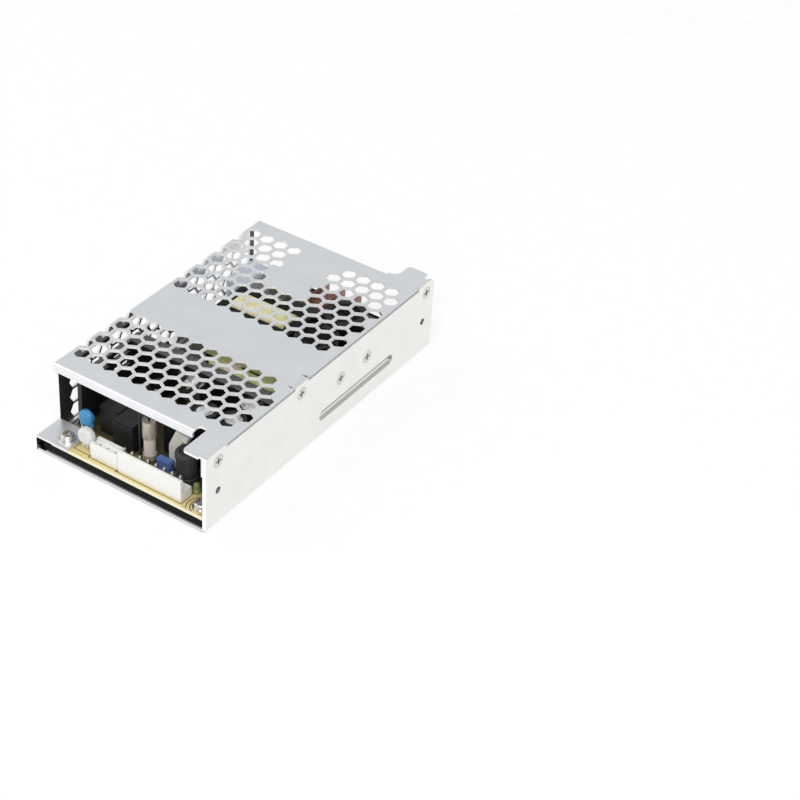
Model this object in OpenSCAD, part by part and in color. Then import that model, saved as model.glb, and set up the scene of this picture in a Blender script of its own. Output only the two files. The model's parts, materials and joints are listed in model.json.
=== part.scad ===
// Enclosed switching power supply: folded chassis, perforated cover and the board between them.
// Millimetres, +Z up, terminals at -Y, origin at the bottom centre of the case.

/* [Case] */
// Overall length of the case, front to rear
case_l = 158; // [145:1:175]
// Overall width of the case
case_w = 86; // [80:1:100]
// Overall height of the case
case_h = 36; // [34:0.5:45]
// Sheet thickness of the chassis
chassis_t = 1.5; // [1.2:0.1:2]
// Sheet thickness of the cover
cover_t = 1; // [0.8:0.1:1.5]
// Inside radius of the sheet folds
fold_r = 0.8; // [0.5:0.1:1.5]
// Loose clearance between sheets and pieces that meet
fit_gap = 0.3; // [0.2:0.05:0.4]

/* [Chassis] */
// Height of the chassis lip inside the left wall
lip_up_h = 3; // [2.6:0.1:4]
// Length of the front ear of the right wall
front_ear_l = 12.5; // [11:0.5:14]
// Length of the rear ear of the right wall
rear_ear_l = 12; // [11:0.5:14]
// Length of the middle ear of the right wall
mid_ear_l = 9; // [8:0.5:11]
// Middle ear's centre from the front of the case
mid_ear_at = 61.5; // [58:0.5:64]
// Radius of the right wall's rear top corner
wall_corner_r = 3.5; // [1:0.5:5]
// Length of the pressed bead in the right wall
bead_l = 53; // [40:1:55]
// Width of the pressed bead
bead_w = 4.8; // [3:0.2:6]
// Depth of the pressed bead
bead_d = 1; // [0.4:0.1:1]
// Height of the bead's centre line
bead_z = 11; // [9:0.5:13]
// Front end of the bead from the front of the case
bead_at = 74.5; // [70:0.5:76]
// Distance of the side mounting holes from the case ends
side_hole_inset = 7.8; // [7:0.1:9]
// Height of the side mounting holes
side_hole_z = 17; // [14:0.5:20]
// Diameter of the tapped mounting holes
tap_d = 3; // [2.5:0.1:4]
// Spacing of the bottom mounting holes across the case
base_holes_x = 50; // [40:1:56]
// Spacing of the bottom mounting holes along the case
base_holes_y = 120; // [100:1:130]

/* [Cover] */
// Distance from the case front to the cover's front edge
front_setback = 11.3; // [10:0.1:13]
// Distance from the case rear to the cover's rear edge
rear_setback = 9.7; // [8:0.1:12]
// Height of the turned-down lips
lip_h = 3.3; // [2.5:0.1:4]
// Width of the flat front tab beside the right wall
front_tab_w = 7.5; // [6:0.5:9]
// Width of the flat rear tab beside the right wall
rear_tab_w = 9.5; // [7:0.5:11]
// Width of the notch between the front lip and its tab
notch_w = 4; // [2:0.5:6]
// Depth of the notch behind the lip
notch_l = 2.6; // [2.2:0.1:4]
// Radius between the rear lip's end and the rear tab
rear_fillet_r = 4.2; // [3:0.1:5]
// Distance from the case ends to the tall part of the left wall
wall_inset = 14.5; // [14:0.5:18]
// Height of the screwed tabs inside the right wall
tab_h = 9.5; // [8:0.5:11]
// Depth of the cover screws below the top of the case
cover_screw_drop = 5; // [4.4:0.1:6]

/* [Perforation] */
// Hexagonal hole, across flats
hex_af = 6.2; // [5:0.1:6.6]
// Web between neighbouring holes
hex_web = 1.05; // [0.9:0.05:2]
// First column of holes from the case front
hex_first_y = 24.3; // [23.5:0.1:26]
// First hole of an odd column from the left edge
hex_first_x = 5.2; // [5.2:0.1:6.5]
// Columns in the front field
front_cols = 6; // [4:1:6]
// Columns left out at the plain band
band_cols = 4; // [4:1:5]
// Solid margin behind the rear field
hex_rear_margin = 7.2; // [6:0.1:14]
// Columns of the rear field before the plain block starts
block_after_cols = 4; // [2:1:6]
// Left edge of the plain block from the case's left side
block_x = 30; // [25:1:34]
// Width of the plain block
block_w = 22; // [15:1:30]
// Lowest row of holes in the left wall
wall_row_z = 6.4; // [6:0.1:8]

/* [Board] */
// Room between the left wall and the board
board_left_gap = 7; // [5:0.1:8]
// Gap between board and right wall
board_gap = 0.5; // [0.3:0.1:0.8]
// Board's front edge behind the case front
board_front = 1.1; // [0.6:0.1:1.6]
// Board's rear edge before the case rear
board_rear_gap = 4.9; // [3:0.1:7]
// Board thickness
board_t = 1.6; // [1.2:0.2:2]
// Height of the threaded standoffs
standoff_h = 3.4; // [3:0.1:5]
// Diameter of the standoffs
standoff_d = 6; // [5:0.5:7]
// Mounting holes from the board's edges
hole_inset = 4.5; // [4:0.1:5]
// Thread diameter of every screw
screw_d = 3; // [2.5:0.1:3.2]

/* [Connectors] */
// Pin pitch of the connectors
pin_pitch = 3.96; // [3.5:0.02:4.5]
// Most output pins, where the board has room for them
output_ways = 8; // [4:1:8]
// Number of input pins
input_ways = 3; // [2:1:3]
// Depth of the output connector's housing
connector_d = 6.7; // [6:0.1:9]
// Depth of the input connector's housing
input_d = 5.8; // [5:0.1:8]
// Height of the output connector's locking wall
output_wall_h = 10; // [8:0.1:12]
// Height of the input connector's walls
input_wall_h = 6.9; // [6:0.1:10]
// Width of the square pins
pin_w = 1.1; // [0.8:0.1:1.3]

/* [Components] */
// Room left between the tall components and the cover
headroom = 3.2; // [2:0.1:4]
// Diameter of the output capacitors
output_cap_d = 10; // [8:0.1:11]
// Diameter of the bulk capacitors
bulk_cap_d = 18; // [14:0.5:20]
// Diameter of the drum choke
drum_d = 9.6; // [8:0.1:10.5]
// Height of the drum choke
drum_h = 15; // [12:0.5:18]
// Diameter of the fuse tube
fuse_d = 4.8; // [4:0.1:5.8]
// Length of the fuse over its caps
fuse_l = 18; // [16:0.5:22]
// Height of the signal relays
relay_h = 13; // [10:0.1:14]
// Height of the power relay
power_relay_h = 15.6; // [12:0.1:18]
// Sheet thickness of the heatsink
sink_t = 2; // [1.5:0.1:2.5]
// Diameter of the disc capacitors
disc_d = 7.2; // [7:0.1:10]
// Thickness of the transformer's ferrite core
core_d = 12; // [10:0.5:13.5]

/* [Hidden] */
$fn = 48;
cut = 1;

// Case edges and folds
x_left = -case_w / 2;
x_right = case_w / 2;
y_front = -case_l / 2;
y_rear = case_l / 2;
cover_R = cover_t + fold_r;
chassis_R = chassis_t + fold_r;
wall_in_x = x_right - chassis_t;
seat_x = wall_in_x - fit_gap;
under_cover = case_h - cover_t;
bead_y = y_front + bead_at + bead_l / 2;
bead_side_w = 1.4;
collar_h = 1.5;
collar_wall = 0.75;

// Board and the room above it
board_bottom = chassis_t + standoff_h;
board_z = board_bottom + board_t;
board_x0 = x_left + cover_t + board_left_gap;
board_x1 = wall_in_x - board_gap;
board_y0 = y_front + board_front;
board_y1 = y_rear - board_rear_gap;
board_w = board_x1 - board_x0;
board_l = board_y1 - board_y0;
hole_xs = [board_x0 + hole_inset, board_x1 - hole_inset];
hole_ys = [board_y0 + hole_inset, board_y1 - hole_inset];
base_xs = [-base_holes_x / 2, base_holes_x / 2];
base_ys = [-base_holes_y / 2, base_holes_y / 2];
side_hole_ys = [y_front + side_hole_inset, y_rear - side_hole_inset];
tall = under_cover - headroom - board_z;

// Screws and standoffs
screw_gap = 0.4;
thread_gap = 0.1;
clear_d = screw_d + screw_gap;
shank_d = screw_d - thread_gap;
flat_head_d = 5.6;
flat_head_h = 1.3;
sunk_gap = 0.1;
pan_head_d = 5.6;
pan_head_h = 2.2;
pan_round = 0.8;
washer_d = 7;
washer_t = 0.5;
recess_w = 0.8;
recess_l = 3.2;
recess_h = 1;
cover_screw_reach = 1.5;
swage_d = standoff_d - 2;
swage_gap = 0.1;

// Ears of the right wall as [start, end] along Y, with their screws
ears = [
    [y_front, y_front + front_ear_l],
    [y_front + mid_ear_at - mid_ear_l / 2, y_front + mid_ear_at + mid_ear_l / 2],
    [y_rear - rear_ear_l, y_rear]
];
front_screw_inset = 4.5;
ear_screw_ys = [ears[0][1] - front_screw_inset, y_front + mid_ear_at, y_rear - rear_ear_l / 2];
cover_screw_z = case_h - cover_screw_drop;
relief_r = 0.75;
tab_fold_r = 0.4;

// Perforation grid
hex_pitch = hex_af + hex_web;
col_step = hex_pitch * sqrt(3) / 2;
hex_d = hex_af / cos(30);
edge_web = 1.5;
rear_first = front_cols + band_cols;
rear_limit = case_l - rear_setback - hex_rear_margin - hex_d / 2;
rear_cols = floor((rear_limit - hex_first_y) / col_step) - rear_first + 1;
last_col = rear_first + rear_cols - 1;
cols = concat([for (k = [0 : front_cols - 1]) k], [for (k = [0 : rear_cols - 1]) rear_first + k]);
fold_x = hex_first_x - hex_pitch / 2;
fold_cut_tilt = 35;
fold_cut_af = hex_af - 0.6;
fold_cut_x = cover_R + 0.3;
fold_cut_z = case_h - cover_R + 0.4;

// Feet: turned-in strips of the cover that lie on the board's left corners
foot_gap = 0.5;
foot_l = wall_inset - foot_gap;
foot_top = board_z + cover_t;
foot_x1 = hole_xs[0] + hole_inset;

// Insulating tray
film_t = 0.5;
tray_edge = 1;
tray_wall_h = standoff_h - fit_gap;
tray_hole_room = 2;

// Sizes of the board's components
sleeve_t = 0.3;
output_cap_D = output_cap_d + 2 * sleeve_t;
bulk_cap_D = bulk_cap_d + 2 * sleeve_t;
tall_cap_h = tall - sleeve_t;
small_cap_d = 6.3;
small_cap_h = 12;
crimp_z = 2.4;
crimp_r = 0.8;
thermistor_d = 7.8;
thermistor_t = 4;
thermistor_lift = 2.9;
thermistor_leg_at = 1.6;
disc_t = 3.2;
disc_lift = 4;
disc_lead_at = 2.5;
disc_lead_d = 0.8;
relay_size = [10, 15, relay_h];
power_relay_size = [11, 17, power_relay_h];
blue_cap_size = [7.2, 3.4, 5.2];
film_cap_drop = 4;
film_cap_size = [10.5, 19, tall - film_cap_drop];
bridge_size = [22, 4, 15];
bridge_lift = 3;
choke_size = [18, 15];
choke_d = 13;
fuse_foot = 1.6;
fuse_cap_l = 7.4;
fuse_foot_cap_l = 2.4;
fuse_rim = 0.8;
fuse_cap_t = 0.4;
fuse_cap_gap = 0.05;
fuse_cap_D = fuse_d + 2 * (fuse_cap_t + fuse_cap_gap);
lead_d = 0.9;
lead_reach = 5;
lead_bend_r = 1.2;
fuse_span = lead_d / 2 + lead_reach + fuse_cap_D / 2;
toroid_d = 13;
toroid_hole = 7;
toroid_t = 6;
toroid_turns = 18;
wire_d = 1.1;
wire_gap = 0.05;
wire_flat = 0.8 * wire_d;
toroid_w = toroid_t + 2 * (wire_gap + wire_flat);
toroid_D = toroid_d + 2 * (wire_gap + wire_flat);

// Heatsink and the rectifier on it
sink_drop = 0.6;
flange_l = 8.2;
sink_h = tall - sink_drop;
slot_l = 10;
slot_w = 3;
slot_pitch = 13;
slot_inset = 9;
slot_drops = [5, 11];
wing_chamfer = 4;
rectifier_size = [15.6, 4.8, 19];
rectifier_gap = 0.5;
rectifier_drop = sink_t + rectifier_gap;
rectifier_pitch = 5.45;
rectifier_lead = [1.2, 0.6];
clip_size = [13, 1, 15];
clip_wing = 3;
clip_screw_drop = 5.5;

// Transformer and boost choke
core_w = 44;
core_drop = 0.5;
core_h = tall - core_drop;
core_leg = 4.6;
core_bar = 3;
core_mid = 11;
former_gap = 0.3;
former_t = 1;
flange_t = 1.2;
rail_w = 3;
base_t = 2.4;
winding_r = 3;
winding_x = core_w - 2 * core_leg - 2 * former_gap;
winding_y = 25;
coil_z0 = board_z + base_t + core_bar + former_gap;
coil_z1 = board_z + core_h - core_bar - former_gap;
boost_size = [37, 20];
boost_end = 4.5;
boost_leg = 3.8;
boost_lift = 5;
boost_drop = 1;
boost_core_h = 18;
boost_mid = 6;
boost_window = [boost_size[0] - 2 * boost_end, boost_size[1] - 2 * boost_leg];
boost_mid_z = board_z + boost_lift + boost_core_h / 2;

// Lays pieces out in a row: their sizes in order, and the gaps before, between and after them,
// which share out what the row's room leaves over
function total(list, n) = n < 1 ? 0 : list[n - 1] + total(list, n - 1);
function stretch(room, sizes, gaps) = (room - total(sizes, len(sizes))) / total(gaps, len(gaps));
function in_row(start, room, sizes, gaps, i) =
    start + total(sizes, i) + sizes[i] / 2 + total(gaps, i + 1) * stretch(room, sizes, gaps);

// Rows along the board: connectors, three output capacitors, heatsink, transformer, two bulk
// capacitors and line choke
depths = [
    connector_d, output_cap_D, output_cap_D, output_cap_D, flange_l, winding_y,
    bulk_cap_D, bulk_cap_D, choke_size[1]
];
depth_gaps = [1.9, 5.4, 0.2, 0.2, 0.4, 2.3, 3.8, 2.3, 0.9, 10.7];
function depth_y(i) = in_row(board_y0, board_l, depths, depth_gaps, i);

// Front row across the board: heatsink wing, two relays, fuse, blue capacitor, drum choke, capacitors
front_sizes = [sink_t, relay_size[0], relay_size[0], fuse_span, blue_cap_size[0], drum_d, output_cap_D];
front_gaps = [0.8, 7.4, 0.3, 2.15, 1.55, 2.6, 0.1, 3.4];
function front_x(i) = in_row(board_x0, board_w, front_sizes, front_gaps, i);

// Places of the front components
connector_y = depth_y(0) - connector_d / 2;
connector_rear = depth_y(0) + connector_d / 2;
drum_gap = 0.8;
drum_at = [front_x(5), connector_rear + drum_gap + drum_d / 2];
fuse_behind = 0.5;
fuse_at = [front_x(3) + fuse_span / 2 - fuse_cap_D / 2, drum_at[1] + fuse_behind];
blue_cap_gap = 4;
blue_cap_at = [front_x(4), connector_rear + blue_cap_gap + blue_cap_size[1] / 2];
thermistor_gap = 1.1;
thermistor_at = [foot_x1 + thermistor_gap + thermistor_d / 2, depth_y(0)];
y_cap_1_inset = 2;
y_cap_1_at = [foot_x1 - y_cap_1_inset, y_front + foot_l + foot_gap];
output_cap_gap = 1.4;
output_cap_ahead = 2.3;
output_cap_ats = [
    [front_x(6), depth_y(1)], [front_x(6), depth_y(2)], [front_x(6), depth_y(3)],
    [front_x(6) - output_cap_D - output_cap_gap, depth_y(2) - output_cap_ahead]
];
power_relay_gap = 0.6;
power_relay_behind = 3.4;
power_relay_at = [
    output_cap_ats[3][0] - output_cap_D / 2 - power_relay_gap - power_relay_size[0] / 2,
    output_cap_ats[3][1] + power_relay_behind
];
relay_1_ahead = 6.3;
relay_1_at = [front_x(1), power_relay_at[1] - relay_1_ahead];
relay_2_ahead = 10.5;
relay_2_at = [front_x(2), power_relay_at[1] - relay_2_ahead];
sink_x0 = front_x(0) - sink_t / 2;
sink_x1 = front_x(6) + output_cap_D / 2;
sink_y1 = depth_y(4) + flange_l / 2;
wing_gap = 0.6;
sink_l = sink_y1 - y_cap_1_at[1] - disc_t / 2 - wing_gap;
small_cap_aside = 3.2;
small_cap_ahead = 10;
small_cap_at = [relay_1_at[0] + small_cap_aside, sink_y1 - small_cap_ahead];
rectifier_aside = 3.4;
rectifier_x = (sink_x0 + sink_x1) / 2 - rectifier_aside;
rectifier_y1 = sink_y1 - sink_t;
rectifier_y0 = rectifier_y1 - rectifier_size[1];
rectifier_z = board_z + sink_h - rectifier_drop - rectifier_size[2];
clip_screw_z = rectifier_z + rectifier_size[2] - clip_screw_drop;

// Places behind the heatsink
bulk_side_gap = 6.4;
bulk_x = board_x1 - bulk_side_gap - bulk_cap_D / 2;
bulk_ats = [[bulk_x, depth_y(6)], [bulk_x, depth_y(7)]];
y_cap_2_inset = 2.1;
y_cap_2_ahead = 4.8;
y_cap_2_at = [board_x1 - y_cap_2_inset, depth_y(5) - y_cap_2_ahead];
transformer_gap = 0.5;
transformer_at = [y_cap_2_at[0] - disc_t / 2 - transformer_gap - core_w / 2, depth_y(5)];
boost_gap = 1.7;
boost_behind = 3.9;
boost_at = [bulk_x - bulk_cap_D / 2 - boost_gap - boost_size[0] / 2, bulk_ats[0][1] + boost_behind];
boost_rear = boost_at[1] + boost_size[1] / 2;
line_choke_aside = 17.7;
line_choke_at = [bulk_x - line_choke_aside, depth_y(8)];

// Rear row across the board, left of the bulk capacitor: film capacitor, toroid, bridge
rear_sizes = [film_cap_size[0], toroid_w, bridge_size[0]];
rear_gaps = [1.2, 4.9, 0.2, 4.3];
rear_room = bulk_x - bulk_cap_D / 2 - board_x0;
function rear_x(i) = in_row(board_x0, rear_room, rear_sizes, rear_gaps, i);
film_cap_gap = 1.5;
film_cap_at = [rear_x(0), boost_rear + film_cap_gap + film_cap_size[1] / 2];
toroid_gap = 0.5;
toroid_at = [rear_x(1), boost_rear + toroid_gap + toroid_D / 2];
bridge_at = [rear_x(2), toroid_at[1] + fit_gap];
toroid_z = board_z + toroid_D / 2 + fit_gap;

// Power devices on the right wall, beside the first bulk capacitor
device_size = [4.5, 10, 15.5];
device_pitch = 19;
device_ahead = 7.3;
device_ys = [bulk_ats[0][1] - device_ahead, bulk_ats[0][1] - device_ahead + device_pitch];
device_screw_z = 22.5;
device_hole_drop = 4;
device_top = device_screw_z + device_hole_drop;
tab_step = 1.8;
tab_step_h = 8;
device_lead = [0.6, 0.8];
device_lead_pitch = 2.54;
device_lead_in = 2.6;
pad_t = bead_d + fit_gap;
pad_z = bead_z + bead_w / 2 + fit_gap;
pad_edge = 1;
device_x = wall_in_x - pad_t;
nut_af = 5.5;
nut_h = 2.4;
nut_x = device_x - device_size[0] + tab_step;
screw_end = 0.6;

// Connectors from the thermistor to the right board screw, with as many output pins as fit
housing_wall = 1.2;
housing_floor = 4;
input_pocket = 1.5;
housing_r = 0.3;
lock_wall = 1.5;
latch_slot_h = 1;
rib_w = 0.8;
input_end = 2.8;
output_end = 1.8;
connector_space = 0.6;
pin_tip = 1.1;
pin_in = 2.4;
input_l = (input_ways - 1) * pin_pitch + 2 * input_end;
input_gap = 0.3;
input_x = thermistor_at[0] + thermistor_d / 2 + input_gap;
input_y = depth_y(0) - input_d / 2;
output_x = input_x + input_l + connector_space;
output_room = hole_xs[1] - washer_d / 2 - connector_space - output_x;
ways = min(output_ways, floor((output_room - 2 * output_end) / pin_pitch) + 1);
output_l = (ways - 1) * pin_pitch + 2 * output_end;

// Flat rectangle with round corners, lower left corner at the origin
module round_rect(size, r) {
    translate([r, 0]) square([size[0] - 2 * r, size[1]]);
    translate([0, r]) square([size[0], size[1] - 2 * r]);
    for (x = [r, size[0] - r], y = [r, size[1] - r])
        translate([x, y]) circle(r);
}

// Section of a folded strip: outer corner at the origin, legs along +X and +Y
module fold_section(leg_x, leg_y, t) {
    R = t + fold_r;
    translate([R, 0]) square([leg_x - R, t]);
    translate([0, R]) square([t, leg_y - R]);
    intersection() {
        square(R);
        translate([R, R]) difference() {
            circle(R);
            circle(fold_r);
        }
    }
}

// Extrudes an XZ section along Y from y0 to y1
module along_y(y0, y1) {
    translate([0, y1, 0]) rotate([90, 0, 0]) linear_extrude(y1 - y0) children();
}

// Extrudes a YZ section along X from x0 to x1
module along_x(x0, x1) {
    translate([x0, 0, 0]) rotate([90, 0, 90]) linear_extrude(x1 - x0) children();
}

// Rounds an outside corner: the leftover of a square after its quarter circle
module corner_cut(r) {
    difference() {
        translate([-cut, -cut]) square(r + cut);
        translate([r, r]) circle(r);
    }
}

// Hexagonal hole with its points along Y
module hex_hole(af) {
    rotate(90) circle(d = af / cos(30), $fn = 6);
}

// Cross recess in a screw head, cut downwards from its top
module cross_recess() {
    for (a = [0, 90])
        rotate(a) translate([-recess_l / 2, -recess_w / 2, -recess_h])
            cube([recess_l, recess_w, recess_h + cut]);
}

// Pan-head screw with a captive washer, standing on z = 0, shank downwards
module pan_screw(shank_l) {
    r = pan_head_d / 2;
    difference() {
        rotate_extrude() {
            square([washer_d / 2, washer_t]);
            square([r, washer_t + pan_head_h - pan_round]);
            square([r - pan_round, washer_t + pan_head_h]);
            translate([r - pan_round, washer_t + pan_head_h - pan_round]) circle(pan_round);
            translate([0, -shank_l]) square([shank_d / 2, shank_l + washer_t]);
        }
        translate([0, 0, washer_t + pan_head_h]) cross_recess();
    }
}

// Countersunk screw with its face at z = 0, shank downwards
module flat_screw(shank_l) {
    difference() {
        rotate_extrude() polygon([
            [0, 0], [flat_head_d / 2, 0], [shank_d / 2, -flat_head_h], [shank_d / 2, -shank_l], [0, -shank_l]
        ]);
        cross_recess();
    }
}

// Screw hole with its countersink, face at z = 0
module flat_screw_hole(depth) {
    translate([0, 0, -depth]) cylinder(d = clear_d, h = depth + cut);
    translate([0, 0, -flat_head_h])
        cylinder(d1 = shank_d + 2 * sunk_gap, d2 = flat_head_d + 2 * sunk_gap, h = flat_head_h);
    cylinder(d = flat_head_d + 2 * sunk_gap, h = cut);
}

// Turns a +Z feature so that it points out of the right wall
module out_of_wall(y, z) {
    translate([x_right, y, z]) rotate([0, 90, 0]) children();
}

module chassis() {
    color("gainsboro") difference() {
        union() {
            along_y(y_front, y_rear) chassis_section();
            bead(wall_in_x);
            for (y = side_hole_ys)
                out_of_wall(y, side_hole_z) mirror([0, 0, 1]) tap_collar();
            for (x = base_xs, y = base_ys)
                translate([x, y, 0]) tap_collar();
        }
        wall_top_cuts();
        wall_corner_cuts();
        bead(x_right);
        for (y = ear_screw_ys)
            out_of_wall(y, cover_screw_z) flat_screw_hole(chassis_t + cut);
        for (y = device_ys)
            out_of_wall(y, device_screw_z) flat_screw_hole(chassis_t + cut);
        for (y = side_hole_ys)
            out_of_wall(y, side_hole_z) mirror([0, 0, 1]) sheet_hole(tap_d, collar_h);
        for (x = base_xs, y = base_ys)
            translate([x, y, 0]) sheet_hole(tap_d, collar_h);
        for (x = hole_xs, y = hole_ys)
            translate([x, y, 0]) sheet_hole(swage_d + 2 * swage_gap, 0);
    }
}

// Round hole through the chassis sheet that lies on z = 0, and through a collar on it
module sheet_hole(d, collar) {
    translate([0, 0, -cut]) cylinder(d = d, h = chassis_t + collar + 2 * cut);
}

// Collar drawn out of the sheet round a tapped hole, for the thread to hold in
module tap_collar() {
    translate([0, 0, chassis_t / 2]) cylinder(d = tap_d + 2 * collar_wall, h = chassis_t / 2 + collar_h);
}

// U section: low lip at the left, full wall at the right
module chassis_section() {
    lip_x = x_left + cover_t + fit_gap;
    half = case_w / 2;
    translate([lip_x, 0]) fold_section(half, lip_up_h, chassis_t);
    translate([x_right, 0]) mirror([1, 0]) fold_section(half, case_h, chassis_t);
}

// Lowers the wall between the ears so that the cover lies on it
module wall_top_cuts() {
    for (i = [0 : len(ears) - 2])
        translate([wall_in_x - cut, ears[i][1], under_cover - fit_gap / 2])
            cube([chassis_t + 2 * cut, ears[i + 1][0] - ears[i][1], cover_t + cut + fit_gap]);
}

module wall_corner_cuts() {
    along_x(wall_in_x - cut, x_right + cut) {
        translate([y_rear, case_h]) rotate(180) corner_cut(wall_corner_r);
        translate([y_front, case_h]) rotate(-90) corner_cut(fold_r);
    }
    translate([x_left + cover_t + fit_gap, 0, -cut]) linear_extrude(lip_up_h + 2 * cut) {
        translate([0, y_front]) corner_cut(fold_r);
        translate([0, y_rear]) rotate(-90) corner_cut(fold_r);
    }
}

// Pressed bead with sloping sides, sunk from the plane at x and rooted behind it
module bead(x) {
    straight = bead_l - bead_w;
    floor_w = bead_w - 2 * bead_side_w;
    translate([x, bead_y - straight / 2, bead_z]) rotate([-90, 0, 0]) linear_extrude(straight) polygon([
        [cut, -bead_w / 2], [cut, bead_w / 2], [0, bead_w / 2], [-bead_d, floor_w / 2],
        [-bead_d, -floor_w / 2], [0, -bead_w / 2]
    ]);
    for (s = [-1, 1])
        translate([x, bead_y + s * straight / 2, bead_z]) rotate([0, -90, 0]) rotate_extrude() polygon([
            [0, -cut], [bead_w / 2, -cut], [bead_w / 2, 0], [floor_w / 2, bead_d], [0, bead_d]
        ]);
}

module cover() {
    color("silver") difference() {
        union() {
            translate([0, 0, under_cover]) linear_extrude(cover_t) top_outline();
            left_wall();
            lips();
            screw_tabs();
            feet();
        }
        top_holes();
        fold_holes();
        wall_holes();
        for (y = ear_screw_ys)
            translate([seat_x - cover_t - cut, y, cover_screw_z]) rotate([0, 90, 0])
                cylinder(d = screw_d, h = cover_t + 2 * cut);
        for (y = hole_ys)
            translate([hole_xs[0], y, board_z - cut]) cylinder(d = clear_d, h = cover_t + 2 * cut);
    }
}

// Flat part of the cover seen from above, without the folds
module top_outline() {
    lip_front = y_front + front_setback + cover_R;
    lip_rear = y_rear - rear_setback - cover_R;
    plate_x = x_left + cover_R;
    tab_r = 2 * fold_r;
    front_x = seat_x - cover_R - front_tab_w;
    rear_x = seat_x - cover_R - rear_tab_w;
    rear_y = y_rear - rear_setback;
    difference() {
        union() {
            translate([plate_x, lip_front]) square([x_right - plate_x, lip_rear - lip_front]);
            translate([front_x, y_front])
                round_rect([front_tab_w + cover_R, front_setback + cover_R + notch_l], tab_r);
            translate([rear_x, lip_rear - notch_l])
                round_rect([rear_tab_w + cover_R, rear_setback + cover_R + notch_l], tab_r);
            difference() {
                translate([rear_x - rear_fillet_r, lip_rear - cut])
                    square([rear_fillet_r + tab_r, rear_y - lip_rear + cut + rear_fillet_r]);
                translate([rear_x - rear_fillet_r, rear_y + rear_fillet_r]) circle(rear_fillet_r);
            }
        }
        notch(front_x, y_front + front_setback);
        for (e = ears) {
            translate([seat_x - cover_R, e[0] - fit_gap])
                square([chassis_t + cover_R + cut, e[1] - e[0] + 2 * fit_gap]);
            for (y = e)
                translate([seat_x, y]) circle(relief_r);
        }
    }
}

// Round-ended notch between the front lip and its tab
module notch(x, y) {
    depth = cover_R + notch_l;
    r = notch_w / 3;
    translate([x - notch_w, y - cut]) square([notch_w, depth - r + cut]);
    translate([x - notch_w + r, y]) square([notch_w - 2 * r, depth]);
    for (cx = [x - notch_w + r, x - r])
        translate([cx, y + depth - r]) circle(r);
}

// Perforated wall with its fold, and the plain strips of the fold beyond its ends
module left_wall() {
    along_y(y_front + wall_inset, y_rear - wall_inset)
        translate([x_left, case_h]) mirror([0, 1]) fold_section(cover_R + cut, case_h, cover_t);
    for (range = [[y_front + front_setback + cover_R, y_front + wall_inset],
                  [y_rear - wall_inset, y_rear - rear_setback - cover_R]])
        translate([x_left + cover_t / 2, range[0], under_cover])
            cube([cover_R, range[1] - range[0], cover_t]);
}

module lips() {
    x0 = x_left + cover_t / 2;
    front_x1 = seat_x - cover_R - front_tab_w - notch_w;
    rear_x1 = seat_x - cover_R - rear_tab_w - rear_fillet_r;
    along_x(x0, front_x1)
        translate([y_front + front_setback, case_h]) mirror([0, 1]) fold_section(cover_R + cut, lip_h, cover_t);
    along_x(x0, rear_x1)
        translate([y_rear - rear_setback, case_h]) rotate(180) fold_section(cover_R + cut, lip_h, cover_t);
}

// Tabs folded down sharply inside the ears of the right wall
module screw_tabs() {
    for (e = ears)
        along_y(max(e[0], y_front + fold_r), min(e[1], y_rear - wall_corner_r))
            translate([seat_x, case_h]) rotate(180) difference() {
                union() {
                    square([cover_R + cut, cover_t]);
                    square([cover_t, tab_h]);
                }
                corner_cut(tab_fold_r);
            }
}

// Feet at both ends and the low strip of wall that joins them
module feet() {
    for (range = [[y_front, y_front + foot_l], [y_rear - foot_l, y_rear]])
        along_y(range[0], range[1])
            translate([x_left, foot_top]) mirror([0, 1]) fold_section(foot_x1 - x_left, foot_top, cover_t);
    translate([x_left, y_front, 0]) cube([cover_t, case_l, board_bottom - fold_r]);
}

function in_block(k, x) = k >= rear_first + block_after_cols && x > block_x && x < block_x + block_w;
function odd(k) = k % 2 == 0;
function col_y(k) = y_front + hex_first_y + k * col_step;
function near_ear(x, y) = x > case_w - hex_pitch && abs(y - ears[1][0]) < hex_d / 2;

// Holes in the flat top, column by column
module top_holes() {
    translate([0, 0, under_cover - cut]) linear_extrude(cover_t + 2 * cut)
        for (k = cols)
            for (x = [odd(k) ? hex_first_x : fold_x + hex_pitch : hex_pitch : case_w - edge_web - hex_af / 2])
                if (!in_block(k, x) && !near_ear(x, col_y(k)))
                    translate([x_left + x, col_y(k)]) hex_hole(hex_af);
}

// Holes that wrap over the left fold
module fold_holes() {
    for (k = cols)
        if (!odd(k))
            translate([x_left + fold_cut_x, col_y(k), fold_cut_z])
                rotate([0, -fold_cut_tilt, 0])
                    translate([0, 0, -2 * cover_t]) linear_extrude(5 * cover_t) hex_hole(fold_cut_af);
}

// Holes in the left wall, on the same columns and past the plain band too
module wall_holes() {
    top_row = case_h - cover_R - hex_af / 2 - edge_web;
    along_x(x_left - cut, x_left + cover_t + cut)
        for (k = [0 : last_col])
            for (z = [odd(k) ? wall_row_z : wall_row_z + hex_pitch / 2 : hex_pitch : top_row])
                translate([col_y(k), z]) rotate(90) hex_hole(hex_af);
}

// Black film under the board, turned up at the front and rear
module insulation_tray() {
    x0 = x_left + cover_t + fit_gap + chassis_R + fit_gap;
    x1 = wall_in_x - fold_r - fit_gap;
    y0 = y_front + tray_edge;
    y1 = y_rear - tray_edge;
    color("dimgray") difference() {
        union() {
            translate([x0, y0, chassis_t]) cube([x1 - x0, y1 - y0, film_t]);
            for (y = [y0, y1 - film_t])
                translate([x0, y, chassis_t]) cube([x1 - x0, film_t, tray_wall_h]);
        }
        for (x = hole_xs, y = hole_ys)
            translate([x, y, 0]) cylinder(d = standoff_d + 2 * fit_gap, h = board_bottom);
        for (x = base_xs, y = base_ys)
            translate([x, y, 0]) cylinder(d = tap_d + tray_hole_room, h = board_bottom);
    }
}

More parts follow.
